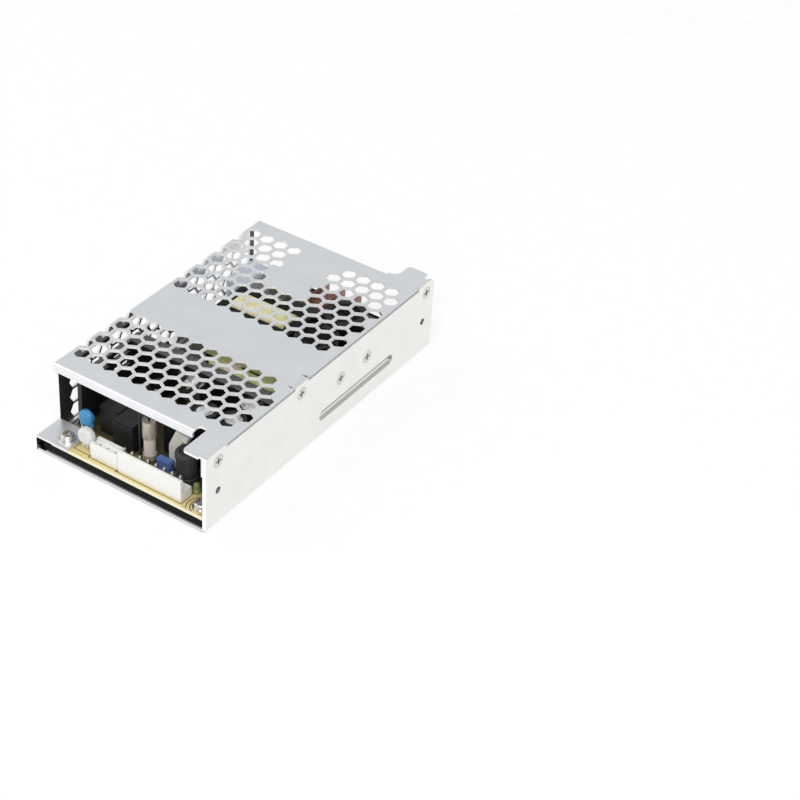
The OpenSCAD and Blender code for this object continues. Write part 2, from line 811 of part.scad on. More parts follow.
// Threaded standoffs, swaged into the chassis plate
module standoffs() {
    color("silver")
        for (x = hole_xs, y = hole_ys)
            translate([x, y, 0]) rotate_extrude() difference() {
                union() {
                    translate([0, chassis_t]) square([standoff_d / 2, standoff_h]);
                    square([swage_d / 2, board_bottom]);
                }
                translate([-cut, chassis_t]) square([screw_d / 2 + cut, standoff_h + cut]);
            }
}

// One screw in each corner of the board; the left ones also hold the cover's feet
module board_screws() {
    color("lightgray")
        for (x = hole_xs, y = hole_ys) {
            seat = x == hole_xs[0] ? foot_top : board_z;
            translate([x, y, seat]) pan_screw(seat - chassis_t - fit_gap);
        }
}

module cover_screws() {
    color("lightgray")
        for (y = ear_screw_ys)
            out_of_wall(y, cover_screw_z) flat_screw(chassis_t + fit_gap + cover_t + cover_screw_reach);
}

module circuit_board() {
    color("khaki") difference() {
        translate([board_x0, board_y0, board_bottom]) cube([board_w, board_l, board_t]);
        for (x = hole_xs, y = hole_ys)
            translate([x, y, board_bottom - cut]) cylinder(d = clear_d, h = board_t + 2 * cut);
    }
}

// Boxed input housing with a shallow pocket in its top and a latch slot in each end
module input_connector() {
    inside = [input_l - 2 * housing_wall, input_d - 2 * housing_wall];
    color("ivory") translate([input_x, input_y, board_z]) difference() {
        along_x(0, input_l) round_rect([input_d, input_wall_h], housing_r);
        translate([housing_wall, housing_wall, input_wall_h - input_pocket])
            cube([inside[0], inside[1], input_wall_h]);
        translate([-cut, 1.5 * housing_wall, input_wall_h - latch_slot_h])
            cube([input_l + 2 * cut, input_d - 3 * housing_wall, input_wall_h]);
        input_pin_places() pin_socket();
    }
}

module input_pin_places() {
    for (i = [0 : input_ways - 1])
        translate([input_end + i * pin_pitch, input_d / 2, 0]) children();
}

// L-shaped output housing: low base and tall ribbed locking wall at the front
module output_connector() {
    rib_drop = 1;
    rib_h = output_wall_h - housing_floor - rib_drop;
    color("ivory") translate([output_x, connector_y, board_z]) difference() {
        union() {
            along_x(0, output_l) {
                round_rect([connector_d, housing_floor], housing_r);
                round_rect([lock_wall, output_wall_h], housing_r);
            }
            for (i = [1 : ways - 1])
                translate([output_end + (i - 0.5) * pin_pitch - rib_w / 2, lock_wall / 2, housing_floor - cut])
                    cube([rib_w, lock_wall / 2 + rib_w / 2, rib_h + cut]);
        }
        output_pin_places() pin_socket();
    }
}

module output_pin_places() {
    for (i = [0 : ways - 1])
        translate([output_end + i * pin_pitch, pin_in, 0]) children();
}

module pin_socket() {
    translate([-pin_w / 2, -pin_w / 2, -cut]) cube([pin_w, pin_w, output_wall_h + 2 * cut]);
}

module input_pins() {
    color("silver") translate([input_x, input_y, board_z])
        input_pin_places() square_pin(input_wall_h - pin_tip);
}

module output_pins() {
    color("silver") translate([output_x, connector_y, board_z])
        output_pin_places() square_pin(output_wall_h + pin_tip);
}

// Square pin with a tapered tip, standing on z = 0
module square_pin(h) {
    tip = pin_w / 2;
    translate([-pin_w / 2, -pin_w / 2, 0]) cube([pin_w, pin_w, h - tip]);
    translate([0, 0, h - tip]) intersection() {
        tip_wedge(tip);
        rotate(90) tip_wedge(tip);
    }
}

module tip_wedge(tip) {
    along_y(-pin_w / 2, pin_w / 2)
        polygon([[-pin_w / 2, 0], [pin_w / 2, 0], [pin_w / 4, tip], [-pin_w / 4, tip]]);
}

// Upright ceramic fuse between two pressed end caps
module fuse_tube() {
    color("mistyrose") translate([fuse_at[0], fuse_at[1], board_z + fuse_foot + fuse_cap_t])
        cylinder(d = fuse_d, h = fuse_l - 2 * fuse_cap_t);
}

module fuse_caps() {
    color("silver") translate([fuse_at[0], fuse_at[1], board_z + fuse_foot]) {
        fuse_cap(fuse_foot_cap_l, 0);
        translate([0, 0, fuse_l]) mirror([0, 0, 1]) fuse_cap(fuse_cap_l, fuse_rim);
    }
}

// Pressed cap with its end plate on z = 0 and a rim that stands out below it
module fuse_cap(l, rim) {
    rotate_extrude() {
        square([fuse_cap_D / 2, fuse_cap_t]);
        translate([fuse_cap_D / 2 - fuse_cap_t, -rim]) square([fuse_cap_t, l + rim]);
    }
}

// Straight lower lead, and the upper lead bent over the rim and down beside the tube
module fuse_leads() {
    cap_z = board_z + fuse_foot + fuse_l;
    bend_z = cap_z + fuse_rim;
    color("lightgray") translate([fuse_at[0], fuse_at[1], 0]) {
        translate([0, 0, board_z]) cylinder(d = lead_d, h = fuse_foot);
        translate([0, 0, cap_z]) cylinder(d = lead_d, h = fuse_rim);
        translate([-lead_bend_r, 0, bend_z]) lead_elbow(0);
        translate([lead_bend_r - lead_reach, 0, bend_z + lead_bend_r]) rotate([0, 90, 0])
            cylinder(d = lead_d, h = lead_reach - 2 * lead_bend_r);
        translate([lead_bend_r - lead_reach, 0, bend_z]) lead_elbow(90);
        translate([-lead_reach, 0, board_z]) cylinder(d = lead_d, h = bend_z - board_z);
    }
}

// Quarter bend of lead in the XZ plane, from that angle on
module lead_elbow(from) {
    rotate([90, 0, 0]) rotate(from) rotate_extrude(angle = 90) translate([lead_bend_r, 0]) circle(d = lead_d);
}

// Round-edged disc with its axis along Y, centre at the origin
module disc(d, t) {
    r = t / 2.4;
    rotate([90, 0, 0]) rotate_extrude() {
        translate([0, -t / 2]) square([d / 2 - r, t]);
        translate([0, -t / 2 + r]) square([d / 2, t - 2 * r]);
        for (y = [-t / 2 + r, t / 2 - r])
            translate([d / 2 - r, y]) circle(r);
    }
}

// How far a lead at a distance from a disc's middle runs up to meet its rim
function rim_h(lift, d, at) = lift + d / 2 - sqrt(pow(d / 2, 2) - pow(at, 2));

module thermistor() {
    mid_z = board_z + thermistor_lift + thermistor_d / 2;
    color("whitesmoke") translate([thermistor_at[0], thermistor_at[1], mid_z]) disc(thermistor_d, thermistor_t);
}

module thermistor_legs() {
    leg_h = rim_h(thermistor_lift, thermistor_d, thermistor_leg_at - disc_lead_d / 2);
    color("gray")
        for (s = [-1, 1])
            translate([thermistor_at[0] + s * thermistor_leg_at, thermistor_at[1], board_z])
                cylinder(d = disc_lead_d, h = leg_h);
}

module y_capacitor(at, turn) {
    translate([at[0], at[1], board_z + disc_lift + disc_d / 2]) rotate(turn) disc(disc_d, disc_t);
}

module y_capacitor_1() {
    color("steelblue") y_capacitor(y_cap_1_at, 0);
}

module y_capacitor_2() {
    color("steelblue") y_capacitor(y_cap_2_at, 90);
}

module disc_leads() {
    lead_h = rim_h(disc_lift, disc_d, disc_lead_at - disc_lead_d / 2);
    color("lightgray")
        for (s = [-1, 1]) {
            translate([y_cap_1_at[0] + s * disc_lead_at, y_cap_1_at[1], board_z])
                cylinder(d = disc_lead_d, h = lead_h);
            translate([y_cap_2_at[0], y_cap_2_at[1] + s * disc_lead_at, board_z])
                cylinder(d = disc_lead_d, h = lead_h);
        }
}

// Moulded box with round upright edges and a slightly narrower top
module moulded_box(at, size, r) {
    translate([at[0] - size[0] / 2, at[1] - size[1] / 2, board_z]) {
        linear_extrude(size[2] - r / 2) round_rect([size[0], size[1]], r);
        translate([r / 2, r / 2, 0]) linear_extrude(size[2]) round_rect([size[0] - r, size[1] - r], r / 2);
    }
}

// Relay case: moulded cap over a base plate with a shadow groove between them
module relay(at, size) {
    groove_z = 1.6;
    groove = 0.3;
    difference() {
        moulded_box(at, size, 0.6);
        translate([at[0], at[1], board_z + groove_z]) linear_extrude(groove) difference() {
            square([size[0] + cut, size[1] + cut], center = true);
            square([size[0] - 2 * groove, size[1] - 2 * groove], center = true);
        }
    }
}

module relay_1() {
    color("#26272b") relay(relay_1_at, relay_size);
}

module relay_2() {
    color("#26272b") relay(relay_2_at, relay_size);
}

module power_relay() {
    color("#26272b") relay(power_relay_at, power_relay_size);
}

module blue_capacitor() {
    color("royalblue") moulded_box(blue_cap_at, blue_cap_size, 1);
}

// Drum core in a shrunk sleeve: two flanges, waist, round shoulder and dished top
module drum_choke() {
    r = drum_d / 2;
    waist = 0.4;
    flange = 3;
    shoulder = 1.6;
    rim = 1.8;
    dish = 0.6;
    color("#1f2022") translate([drum_at[0], drum_at[1], board_z]) rotate_extrude() difference() {
        union() {
            square([r, drum_h - shoulder]);
            square([r - shoulder, drum_h]);
            translate([r - shoulder, drum_h - shoulder]) circle(shoulder);
        }
        polygon([
            [r + cut, flange], [r, flange], [r - waist, flange + waist],
            [r - waist, drum_h - flange - waist], [r, drum_h - flange], [r + cut, drum_h - flange]
        ]);
        polygon([
            [0, drum_h - dish], [r - rim - dish, drum_h - dish], [r - rim, drum_h],
            [r - rim, drum_h + cut], [0, drum_h + cut]
        ]);
    }
}

// Glue that runs from the top of the drum choke down behind the blue capacitor to the board
module adhesive_bead() {
    glue_gap = 0.15;
    glue_t = 3.4;
    foot_w = 2.4;
    bend_h = 11.5;
    lean = 3.5;
    top_w = 6.3;
    over = 4.6;
    slump = 1;
    x0 = drum_at[0] - drum_d / 2 - foot_w - lean;
    y0 = blue_cap_at[1] + blue_cap_size[1] / 2 + glue_gap;
    color("white") difference() {
        along_y(y0, y0 + glue_t) translate([x0, board_z]) polygon([
            [0, 0], [foot_w, 0], [foot_w + lean, drum_h / 2], [lean + top_w, drum_h + over - slump],
            [lean, drum_h + over], [0, bend_h]
        ]);
        translate([drum_at[0], drum_at[1], board_z - cut])
            cylinder(d = drum_d + 2 * glue_gap, h = drum_h + glue_gap + cut);
    }
}

// Aluminium can with its rolled crimp and a scored top
module can(at, d, h) {
    score = [2 * d / 3, 0.4, 0.2];
    translate([at[0], at[1], board_z + sleeve_t]) difference() {
        rotate_extrude() difference() {
            square([d / 2, h - sleeve_t]);
            translate([d / 2, crimp_z]) circle(crimp_r);
        }
        for (a = [0, 90])
            rotate(a) translate([-score[0] / 2, -score[1] / 2, h - sleeve_t - score[2]])
                cube([score[0], score[1], cut]);
    }
}

// Shrunk sleeve that follows the crimp and turns over the top edge
module sleeve(at, d, h) {
    lap = d / 7;
    dent = 0.6 * sleeve_t;
    translate([at[0], at[1], board_z]) rotate_extrude() difference() {
        square([d / 2 + sleeve_t, h + sleeve_t]);
        translate([0, sleeve_t]) square([d / 2, h - sleeve_t]);
        translate([0, -cut]) square([d / 2 - lap, h + 2 * cut + sleeve_t]);
        translate([d / 2 + sleeve_t, crimp_z + sleeve_t]) circle(dent);
    }
}

module output_can_1() {
    color("silver") can(output_cap_ats[0], output_cap_d, tall_cap_h);
}

module output_can_2() {
    color("silver") can(output_cap_ats[1], output_cap_d, tall_cap_h);
}

module output_can_3() {
    color("silver") can(output_cap_ats[2], output_cap_d, tall_cap_h);
}

module output_can_4() {
    color("silver") can(output_cap_ats[3], output_cap_d, tall_cap_h);
}

module output_sleeve_1() {
    color("#1c1c1f") sleeve(output_cap_ats[0], output_cap_d, tall_cap_h);
}

module output_sleeve_2() {
    color("#1c1c1f") sleeve(output_cap_ats[1], output_cap_d, tall_cap_h);
}

module output_sleeve_3() {
    color("#1c1c1f") sleeve(output_cap_ats[2], output_cap_d, tall_cap_h);
}

module output_sleeve_4() {
    color("#1c1c1f") sleeve(output_cap_ats[3], output_cap_d, tall_cap_h);
}

module small_can() {
    color("silver") can(small_cap_at, small_cap_d, small_cap_h);
}

module small_sleeve() {
    color("#1c1c1f") sleeve(small_cap_at, small_cap_d, small_cap_h);
}

// Bent heatsink: slotted left wing, cross plate behind the front row, and its top flange turned forward
module front_heatsink() {
    plate_w = sink_x1 - sink_x0;
    color("#17181a") translate([sink_x0, sink_y1 - sink_l, board_z]) difference() {
        union() {
            linear_extrude(sink_h) translate([0, sink_l]) mirror([0, 1]) fold_section(plate_w, sink_l, sink_t);
            translate([0, sink_l - flange_l, sink_h - sink_t])
                cube([plate_w, flange_l - sink_t / 2, sink_t]);
        }
        along_x(-cut, plate_w + cut) translate([sink_l, sink_h]) rotate(180) corner_cut(sink_t);
        translate([0, sink_l, -cut]) linear_extrude(sink_h + 2 * cut) rotate(-90) corner_cut(sink_t + fold_r);
        for (drop = slot_drops, i = [0, 1])
            translate([-cut, sink_l - slot_inset - slot_l - i * slot_pitch, sink_h - drop])
                cube([sink_t + 2 * cut, slot_l, slot_w]);
        translate([rectifier_x - sink_x0, sink_l + cut, clip_screw_z - board_z])
            rotate([90, 0, 0]) cylinder(d = screw_d, h = sink_t + 2 * cut);
        along_x(-cut, sink_t + cut) polygon([
            [-cut, sink_h - wing_chamfer - cut], [wing_chamfer + cut, sink_h + cut], [-cut, sink_h + cut]
        ]);
    }
}

module rectifier() {
    color("#1b1b1d") difference() {
        translate([rectifier_x - rectifier_size[0] / 2, rectifier_y0, rectifier_z]) cube(rectifier_size);
        translate([rectifier_x, rectifier_y1 + cut, clip_screw_z]) rotate([90, 0, 0])
            cylinder(d = clear_d, h = rectifier_size[1] + 2 * cut);
    }
}

module rectifier_leads() {
    y = (rectifier_y0 + rectifier_y1 - rectifier_lead[1]) / 2;
    color("lightgray")
        for (i = [-1 : 1])
            translate([rectifier_x + i * rectifier_pitch - rectifier_lead[0] / 2, y, board_z])
                cube([rectifier_lead[0], rectifier_lead[1], rectifier_z - board_z]);
}

// Spring plate with a side wing that presses the rectifier to the heatsink
module rectifier_clip() {
    top = 5.5;
    color("silver") translate([rectifier_x, rectifier_y0 - clip_size[1], clip_screw_z]) difference() {
        translate([-clip_size[0] / 2, 0, top - clip_size[2]]) {
            cube(clip_size);
            translate([clip_size[0] - clip_size[1], -clip_wing, 0])
                cube([clip_size[1], clip_wing + clip_size[1], clip_size[2] - clip_wing]);
        }
        translate([0, -cut, 0]) rotate([-90, 0, 0]) cylinder(d = clear_d, h = clip_size[1] + 2 * cut);
    }
}

module clip_screw() {
    color("lightgray") translate([rectifier_x, rectifier_y0 - clip_size[1], clip_screw_z])
        rotate([90, 0, 0]) pan_screw(clip_size[1] + rectifier_size[1] + sink_t);
}

// Ferrite E halves glued together, windows facing front and rear
module transformer_core() {
    window_w = (core_w - core_mid) / 2 - core_leg;
    h = core_h - base_t;
    color("#3a3b3d") translate([transformer_at[0], transformer_at[1], board_z + base_t])
        along_y(-core_d / 2, core_d / 2) difference() {
            translate([-core_w / 2, 0]) square([core_w, h]);
            for (s = [-1, 1])
                translate([s * (core_mid + window_w) / 2 - window_w / 2, core_bar])
                    square([window_w, h - 2 * core_bar]);
        }
}

// Coil former: tube round the middle leg, lower flange and pin rails on the board
module transformer_bobbin() {
    bore = [core_mid + 2 * former_gap, core_d + 2 * former_gap];
    color("#2b2724") translate([transformer_at[0], transformer_at[1], 0]) {
        translate([0, 0, coil_z0]) linear_extrude(flange_t) difference() {
            square([winding_x, winding_y], center = true);
            square(bore, center = true);
        }
        translate([0, 0, coil_z0]) linear_extrude(coil_z1 - coil_z0) difference() {
            square([bore[0] + 2 * former_t, bore[1] + 2 * former_t], center = true);
            square(bore, center = true);
        }
        for (y = [-winding_y / 2, winding_y / 2 - rail_w])
            translate([-winding_x / 2, y, board_z]) cube([winding_x, rail_w, coil_z0 - board_z + flange_t / 2]);
    }
}

module transformer_winding() {
    bore = [core_mid + 2 * former_gap + 2 * former_t, core_d + 2 * former_gap + 2 * former_t];
    color("khaki") translate([transformer_at[0], transformer_at[1], coil_z0 + flange_t])
        linear_extrude(coil_z1 - coil_z0 - flange_t) difference() {
            translate([-winding_x / 2, -winding_y / 2]) round_rect([winding_x, winding_y], winding_r);
            square(bore, center = true);
        }
}

// Lying choke core: outer legs at front and rear, round middle leg along X
module boost_core() {
    color("#3a3b3d") translate([boost_at[0], boost_at[1], 0]) {
        translate([0, 0, board_z + boost_lift]) linear_extrude(boost_core_h) difference() {
            square(boost_size, center = true);
            square(boost_window, center = true);
        }
        translate([-boost_window[0] / 2 - cut, 0, boost_mid_z]) rotate([0, 90, 0])
            cylinder(d = boost_mid, h = boost_window[0] + 2 * cut);
    }
}

// Taped winding that bulges above the core and stands on the board
module boost_winding() {
    size = [boost_window[0] - 2 * former_gap, boost_window[1] - 2 * former_gap];
    x0 = boost_at[0] - size[0] / 2;
    color("khaki") difference() {
        along_x(x0, x0 + size[0])
            translate([boost_at[1] - size[1] / 2, board_z]) round_rect([size[1], tall - boost_drop], winding_r);
        translate([x0 - cut, boost_at[1], boost_mid_z]) rotate([0, 90, 0])
            cylinder(d = boost_mid + 2 * former_gap, h = size[0] + 2 * cut);
    }
}

module bulk_can_1() {
    color("silver") can(bulk_ats[0], bulk_cap_d, tall_cap_h);
}

module bulk_can_2() {
    color("silver") can(bulk_ats[1], bulk_cap_d, tall_cap_h);
}

module bulk_sleeve_1() {
    color("#1c1c1f") sleeve(bulk_ats[0], bulk_cap_d, tall_cap_h);
}

module bulk_sleeve_2() {
    color("#1c1c1f") sleeve(bulk_ats[1], bulk_cap_d, tall_cap_h);
}

// Transistor case with its thin screw tab, flat on the pad at the right wall
module switch_device(y) {
    translate([device_x - device_size[0], y - device_size[1] / 2, device_top - device_size[2]]) difference() {
        cube(device_size);
        translate([-cut, device_size[1] / 2, device_size[2] - device_top + device_screw_z]) rotate([0, 90, 0])
            cylinder(d = clear_d, h = device_size[0] + 2 * cut);
        translate([-cut, -cut, device_size[2] - tab_step_h])
            cube([tab_step + cut, device_size[1] + 2 * cut, tab_step_h + cut]);
    }
}

module switch_device_1() {
    color("#1b1b1d") switch_device(device_ys[0]);
}

module switch_device_2() {
    color("#1b1b1d") switch_device(device_ys[1]);
}

module switch_leads() {
    color("lightgray")
        for (y = device_ys, i = [-1 : 1])
            translate([device_x - device_lead_in, y + i * device_lead_pitch - device_lead[1] / 2, board_z])
                cube([device_lead[0], device_lead[1], device_top - device_size[2] - board_z]);
}

module insulating_pads() {
    color("lightsteelblue")
        for (y = device_ys)
            difference() {
                translate([device_x, y - device_size[1] / 2 - pad_edge, pad_z])
                    cube([pad_t, device_size[1] + 2 * pad_edge, device_top + pad_edge - pad_z]);
                translate([device_x - cut, y, device_screw_z]) rotate([0, 90, 0])
                    cylinder(d = clear_d, h = pad_t + 2 * cut);
            }
}

module device_screws() {
    color("lightgray")
        for (y = device_ys)
            out_of_wall(y, device_screw_z) flat_screw(x_right - nut_x + nut_h + screw_end);
}

module device_nuts() {
    color("silver")
        for (y = device_ys)
            translate([nut_x - nut_h, y, device_screw_z]) rotate([0, 90, 0]) difference() {
                cylinder(d = nut_af / cos(30), h = nut_h, $fn = 6);
                translate([0, 0, -cut]) cylinder(d = screw_d, h = nut_h + 2 * cut);
            }
}

module film_capacitor() {
    color("lightsteelblue") moulded_box(film_cap_at, film_cap_size, 1.6);
}

// Ring core standing on edge, axis along X
module toroid_core() {
    color("#2f4f3a") translate([toroid_at[0], toroid_at[1], toroid_z]) rotate([0, 90, 0])
        translate([0, 0, -toroid_t / 2]) difference() {
            cylinder(d = toroid_d, h = toroid_t);
            translate([0, 0, -cut]) cylinder(d = toroid_hole, h = toroid_t + 2 * cut);
        }
}

// Each turn is a closed loop of wire round the ring's section
module toroid_winding() {
    ring_w = (toroid_d - toroid_hole) / 2;
    color("peru") translate([toroid_at[0], toroid_at[1], toroid_z]) rotate([0, 90, 0])
        for (i = [0 : toroid_turns - 1])
            rotate((i + 0.5) * 360 / toroid_turns) translate([(toroid_d + toroid_hole) / 4, 0, 0])
                wire_loop(ring_w + 2 * wire_gap, toroid_t + 2 * wire_gap);
}

module wire_loop(w, h) {
    along_y(-wire_flat / 2, wire_flat / 2) difference() {
        translate([-w / 2 - wire_flat, -h / 2 - wire_flat])
            round_rect([w + 2 * wire_flat, h + 2 * wire_flat], wire_flat);
        translate([-w / 2, -h / 2]) square([w, h]);
    }
}

// Flat bridge with one bevelled corner, standing on four legs
module bridge_rectifier() {
    bevel = 3;
    leg = [1, 0.6];
    leg_pitch = 5.6;
    color("#1b1b1d") translate([bridge_at[0] - bridge_size[0] / 2, bridge_at[1], board_z + bridge_lift]) {
        along_y(-bridge_size[1] / 2, bridge_size[1] / 2) polygon([
            [0, 0], [bridge_size[0], 0], [bridge_size[0], bridge_size[2]], [bevel, bridge_size[2]],
            [0, bridge_size[2] - bevel]
        ]);
        for (i = [-1.5 : 1.5])
            translate([bridge_size[0] / 2 + i * leg_pitch - leg[0] / 2, -leg[1] / 2, -bridge_lift])
                cube([leg[0], leg[1], bridge_lift + cut]);
    }
}

// Sectioned line filter choke: flanged coil former wound in two halves
module line_choke() {
    flange = 1.2;
    base = 2;
    color("#6b2f24") translate([line_choke_at[0], line_choke_at[1], board_z]) {
        translate([-choke_size[0] / 2, -choke_size[1] / 2, 0]) cube([choke_size[0], choke_size[1], base]);
        for (x = [-choke_size[0] / 2, -flange / 2, choke_size[0] / 2 - flange])
            translate([x, -choke_size[1] / 2, 0]) cube([flange, choke_size[1], choke_size[1] + base]);
        translate([-choke_size[0] / 2, 0, base + choke_size[1] / 2]) rotate([0, 90, 0])
            cylinder(d = choke_d, h = choke_size[0]);
    }
}

chassis();
cover();
insulation_tray();
standoffs();
board_screws();
cover_screws();
circuit_board();
input_connector();
input_pins();
output_connector();
output_pins();
fuse_tube();
fuse_caps();
fuse_leads();
thermistor();
thermistor_legs();
y_capacitor_1();
y_capacitor_2();
disc_leads();
relay_1();
relay_2();
power_relay();
blue_capacitor();
drum_choke();
adhesive_bead();
output_can_1();
output_can_2();
output_can_3();
output_can_4();
output_sleeve_1();
output_sleeve_2();
output_sleeve_3();
output_sleeve_4();
small_can();
small_sleeve();
front_heatsink();
rectifier();
rectifier_leads();
rectifier_clip();
clip_screw();
transformer_core();
transformer_bobbin();
transformer_winding();
boost_core();
boost_winding();
bulk_can_1();
bulk_can_2();
bulk_sleeve_1();
bulk_sleeve_2();
switch_device_1();
switch_device_2();
switch_leads();
insulating_pads();
device_screws();
device_nuts();
film_capacitor();
toroid_core();
toroid_winding();
bridge_rectifier();
line_choke();
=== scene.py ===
# %% [markdown]
# # An enclosed power supply, dressed for a studio picture
# The solids of this supply come from a CAD model: folded sheet, screws, a board full of components.
# Blender adds what a solid model lacks: finishes, ink, glue, windings and light.
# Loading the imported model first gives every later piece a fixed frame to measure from.

# %% Load the frame
import json
import math

import bmesh
import bpy
from mathutils import Matrix, Vector


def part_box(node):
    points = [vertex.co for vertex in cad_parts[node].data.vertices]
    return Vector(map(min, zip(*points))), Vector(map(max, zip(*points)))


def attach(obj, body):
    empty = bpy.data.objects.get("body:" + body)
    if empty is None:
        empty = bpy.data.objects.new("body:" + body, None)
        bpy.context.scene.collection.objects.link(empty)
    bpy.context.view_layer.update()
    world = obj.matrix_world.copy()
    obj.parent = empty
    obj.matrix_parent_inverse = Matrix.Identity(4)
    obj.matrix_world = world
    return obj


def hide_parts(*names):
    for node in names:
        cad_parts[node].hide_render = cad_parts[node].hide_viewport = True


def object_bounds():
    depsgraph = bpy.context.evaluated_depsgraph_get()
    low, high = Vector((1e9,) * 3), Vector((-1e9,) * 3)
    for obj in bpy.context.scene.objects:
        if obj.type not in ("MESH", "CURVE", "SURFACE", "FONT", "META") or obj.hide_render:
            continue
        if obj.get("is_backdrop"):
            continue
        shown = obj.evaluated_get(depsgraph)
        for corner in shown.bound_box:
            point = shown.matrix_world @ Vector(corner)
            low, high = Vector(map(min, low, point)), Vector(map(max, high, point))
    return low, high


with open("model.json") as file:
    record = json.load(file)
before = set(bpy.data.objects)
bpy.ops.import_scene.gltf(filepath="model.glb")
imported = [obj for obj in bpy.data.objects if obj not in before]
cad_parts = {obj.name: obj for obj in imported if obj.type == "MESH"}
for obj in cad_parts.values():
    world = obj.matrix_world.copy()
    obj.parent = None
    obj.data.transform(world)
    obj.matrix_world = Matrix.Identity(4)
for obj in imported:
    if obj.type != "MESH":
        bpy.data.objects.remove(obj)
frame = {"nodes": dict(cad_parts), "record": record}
cad_low, cad_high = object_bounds()
nodes = frame["nodes"]
slot_of = {part["node"]: part["material_slot"] for part in frame["record"]["subparts"]}
MM = 0.001
case_size = (cad_high - cad_low) / MM
print("case, mm:", [round(x, 1) for x in case_size], "nodes:", len(nodes))

# %% [markdown]
# ## Camera
# The picture was taken from above the front right corner with a long lens, rolled by a few degrees.
# Place, angles and lens come from fitting the case's corners to the picture.
# A camera could be aimed with a Track To constraint, but that would lose the roll.
# Here its three axes are worked out from azimuth, elevation and roll, and written as a matrix.

# %% Place the camera
AZIMUTH, ELEVATION, ROLL = (math.radians(a) for a in (31.022, 36.961, 4.235))
CAMERA_AT = Vector((403.22, -541.25, 508.88)) * MM
LENS_MM, SENSOR_MM = 90.638, 36.0
CLIP_NEAR, CLIP_FAR = 0.05, 20
scene = bpy.context.scene

back = Vector((math.sin(AZIMUTH) * math.cos(ELEVATION),
               -math.cos(AZIMUTH) * math.cos(ELEVATION), math.sin(ELEVATION)))
level_right = Vector((math.cos(AZIMUTH), math.sin(AZIMUTH), 0))
level_up = back.cross(level_right)
right = level_right * math.cos(ROLL) + level_up * math.sin(ROLL)
up = level_up * math.cos(ROLL) - level_right * math.sin(ROLL)

camera = bpy.data.objects.new("camera", bpy.data.cameras.new("camera"))
scene.collection.objects.link(camera)
aim = Matrix((right, up, back)).transposed().to_4x4()
camera.matrix_world = Matrix.Translation(CAMERA_AT) @ aim
camera.data.lens, camera.data.sensor_width = LENS_MM, SENSOR_MM
camera.data.clip_start, camera.data.clip_end = CLIP_NEAR, CLIP_FAR
bpy.context.scene.camera = camera
centre = (cad_low + cad_high) / 2
print("camera stands", round((CAMERA_AT - centre).length, 3), "m from the case")

# %% [markdown]
# ## Node helpers
# Every finish below is a small node tree: grain from a noise texture drives colour, gloss and bump.
# Object coordinates are used because the solids have no UV maps, and they keep the grain at real size.
# `put` adds one node, sets its sockets and links it, so that a finish reads as a short recipe.

# %% Helpers for node trees
NOISE_DETAIL = 3


def put(tree, kind, links=None, **values):
    """Adds a shader node; values set its properties or sockets, links feed its sockets."""
    made = tree.nodes.new("ShaderNode" + kind)
    for key, value in values.items():
        if hasattr(made, key):
            setattr(made, key, value)
        else:
            made.inputs[key.replace("_", " ")].default_value = value
    for socket, source in (links or {}).items():
        tree.links.new(source, made.inputs[socket])
    return made


def grain(tree, size_mm, stretch=(1, 1, 1)):
    """Noise with features of that size; a stretch above 1 makes it finer along that axis."""
    where = put(tree, "TexCoord").outputs["Object"]
    squeezed = put(tree, "Mapping", {"Vector": where}, Scale=stretch).outputs["Vector"]
    noise = put(tree, "TexNoise", {"Vector": squeezed}, Scale=1 / (size_mm * MM), Detail=NOISE_DETAIL)
    return noise.outputs["Fac"]


print("helpers ready: put, grain")

# %% [markdown]
# ## From grain to looks
# Grain is only a number from 0 to 1. Three helpers turn it into what is seen on a surface:
# a colour between two others, a roughness within a range, and small bumps.
# Each could have a noise of its own, but one grain for all three keeps the trees small, and they vary together.

# %% Helpers for colour, gloss and bump
COLOUR_SPREAD, GLOSS_SPREAD = (0.35, 0.65), (0.3, 0.7)


def tone(tree, fac, low, high):
    """Runs from one colour to the other as the grain rises through its middle range."""
    ramp = put(tree, "ValToRGB", {"Fac": fac})
    for stop, position, colour in zip(ramp.color_ramp.elements, COLOUR_SPREAD, (low, high)):
        stop.position, stop.color = position, (*colour, 1)
    return ramp.outputs["Color"]


def gloss(tree, fac, low, high):
    """Maps the grain's middle range to a range of roughness."""
    start, end = GLOSS_SPREAD
    mapped = put(tree, "MapRange", {"Value": fac}, From_Min=start, From_Max=end, To_Min=low, To_Max=high)
    return mapped.outputs["Result"]


def relief(tree, height, depth_mm, under=None):
    """Turns a height into a bumped normal, on top of another one where that is given."""
    links = {"Height": height} if under is None else {"Height": height, "Normal": under}
    return put(tree, "Bump", links, Strength=1.0, Distance=depth_mm * MM).outputs["Normal"]


print("helpers ready: tone, gloss, relief")

# %% [markdown]
# ## Recipe of a finish
# Real surfaces are never quite even, so each finish has two near colours, a range of roughness and a size of grain.
# Every material could be wired by hand, but one recipe for all keeps them alike in build and quick to tune.
# What is the same all over a surface, such as how metallic it is, is set on the shader itself.

# %% Helper for finishes
def finish(name, low, high, rough, grain_mm, stretch=(1, 1, 1), depth_mm=0.004, **sockets):
    """A material with grain in colour, gloss and bump; sockets are set on the shader itself."""
    material = bpy.data.materials.new(name)
    material.use_nodes = True
    tree = material.node_tree
    shader = tree.nodes["Principled BSDF"]
    fac = grain(tree, grain_mm, stretch)
    tree.links.new(tone(tree, fac, low, high), shader.inputs["Base Color"])
    tree.links.new(gloss(tree, fac, *rough), shader.inputs["Roughness"])
    tree.links.new(relief(tree, fac, depth_mm), shader.inputs["Normal"])
    for socket, value in sockets.items():
        shader.inputs[socket.replace("_", " ")].default_value = value
    return material


print("finish recipe ready")

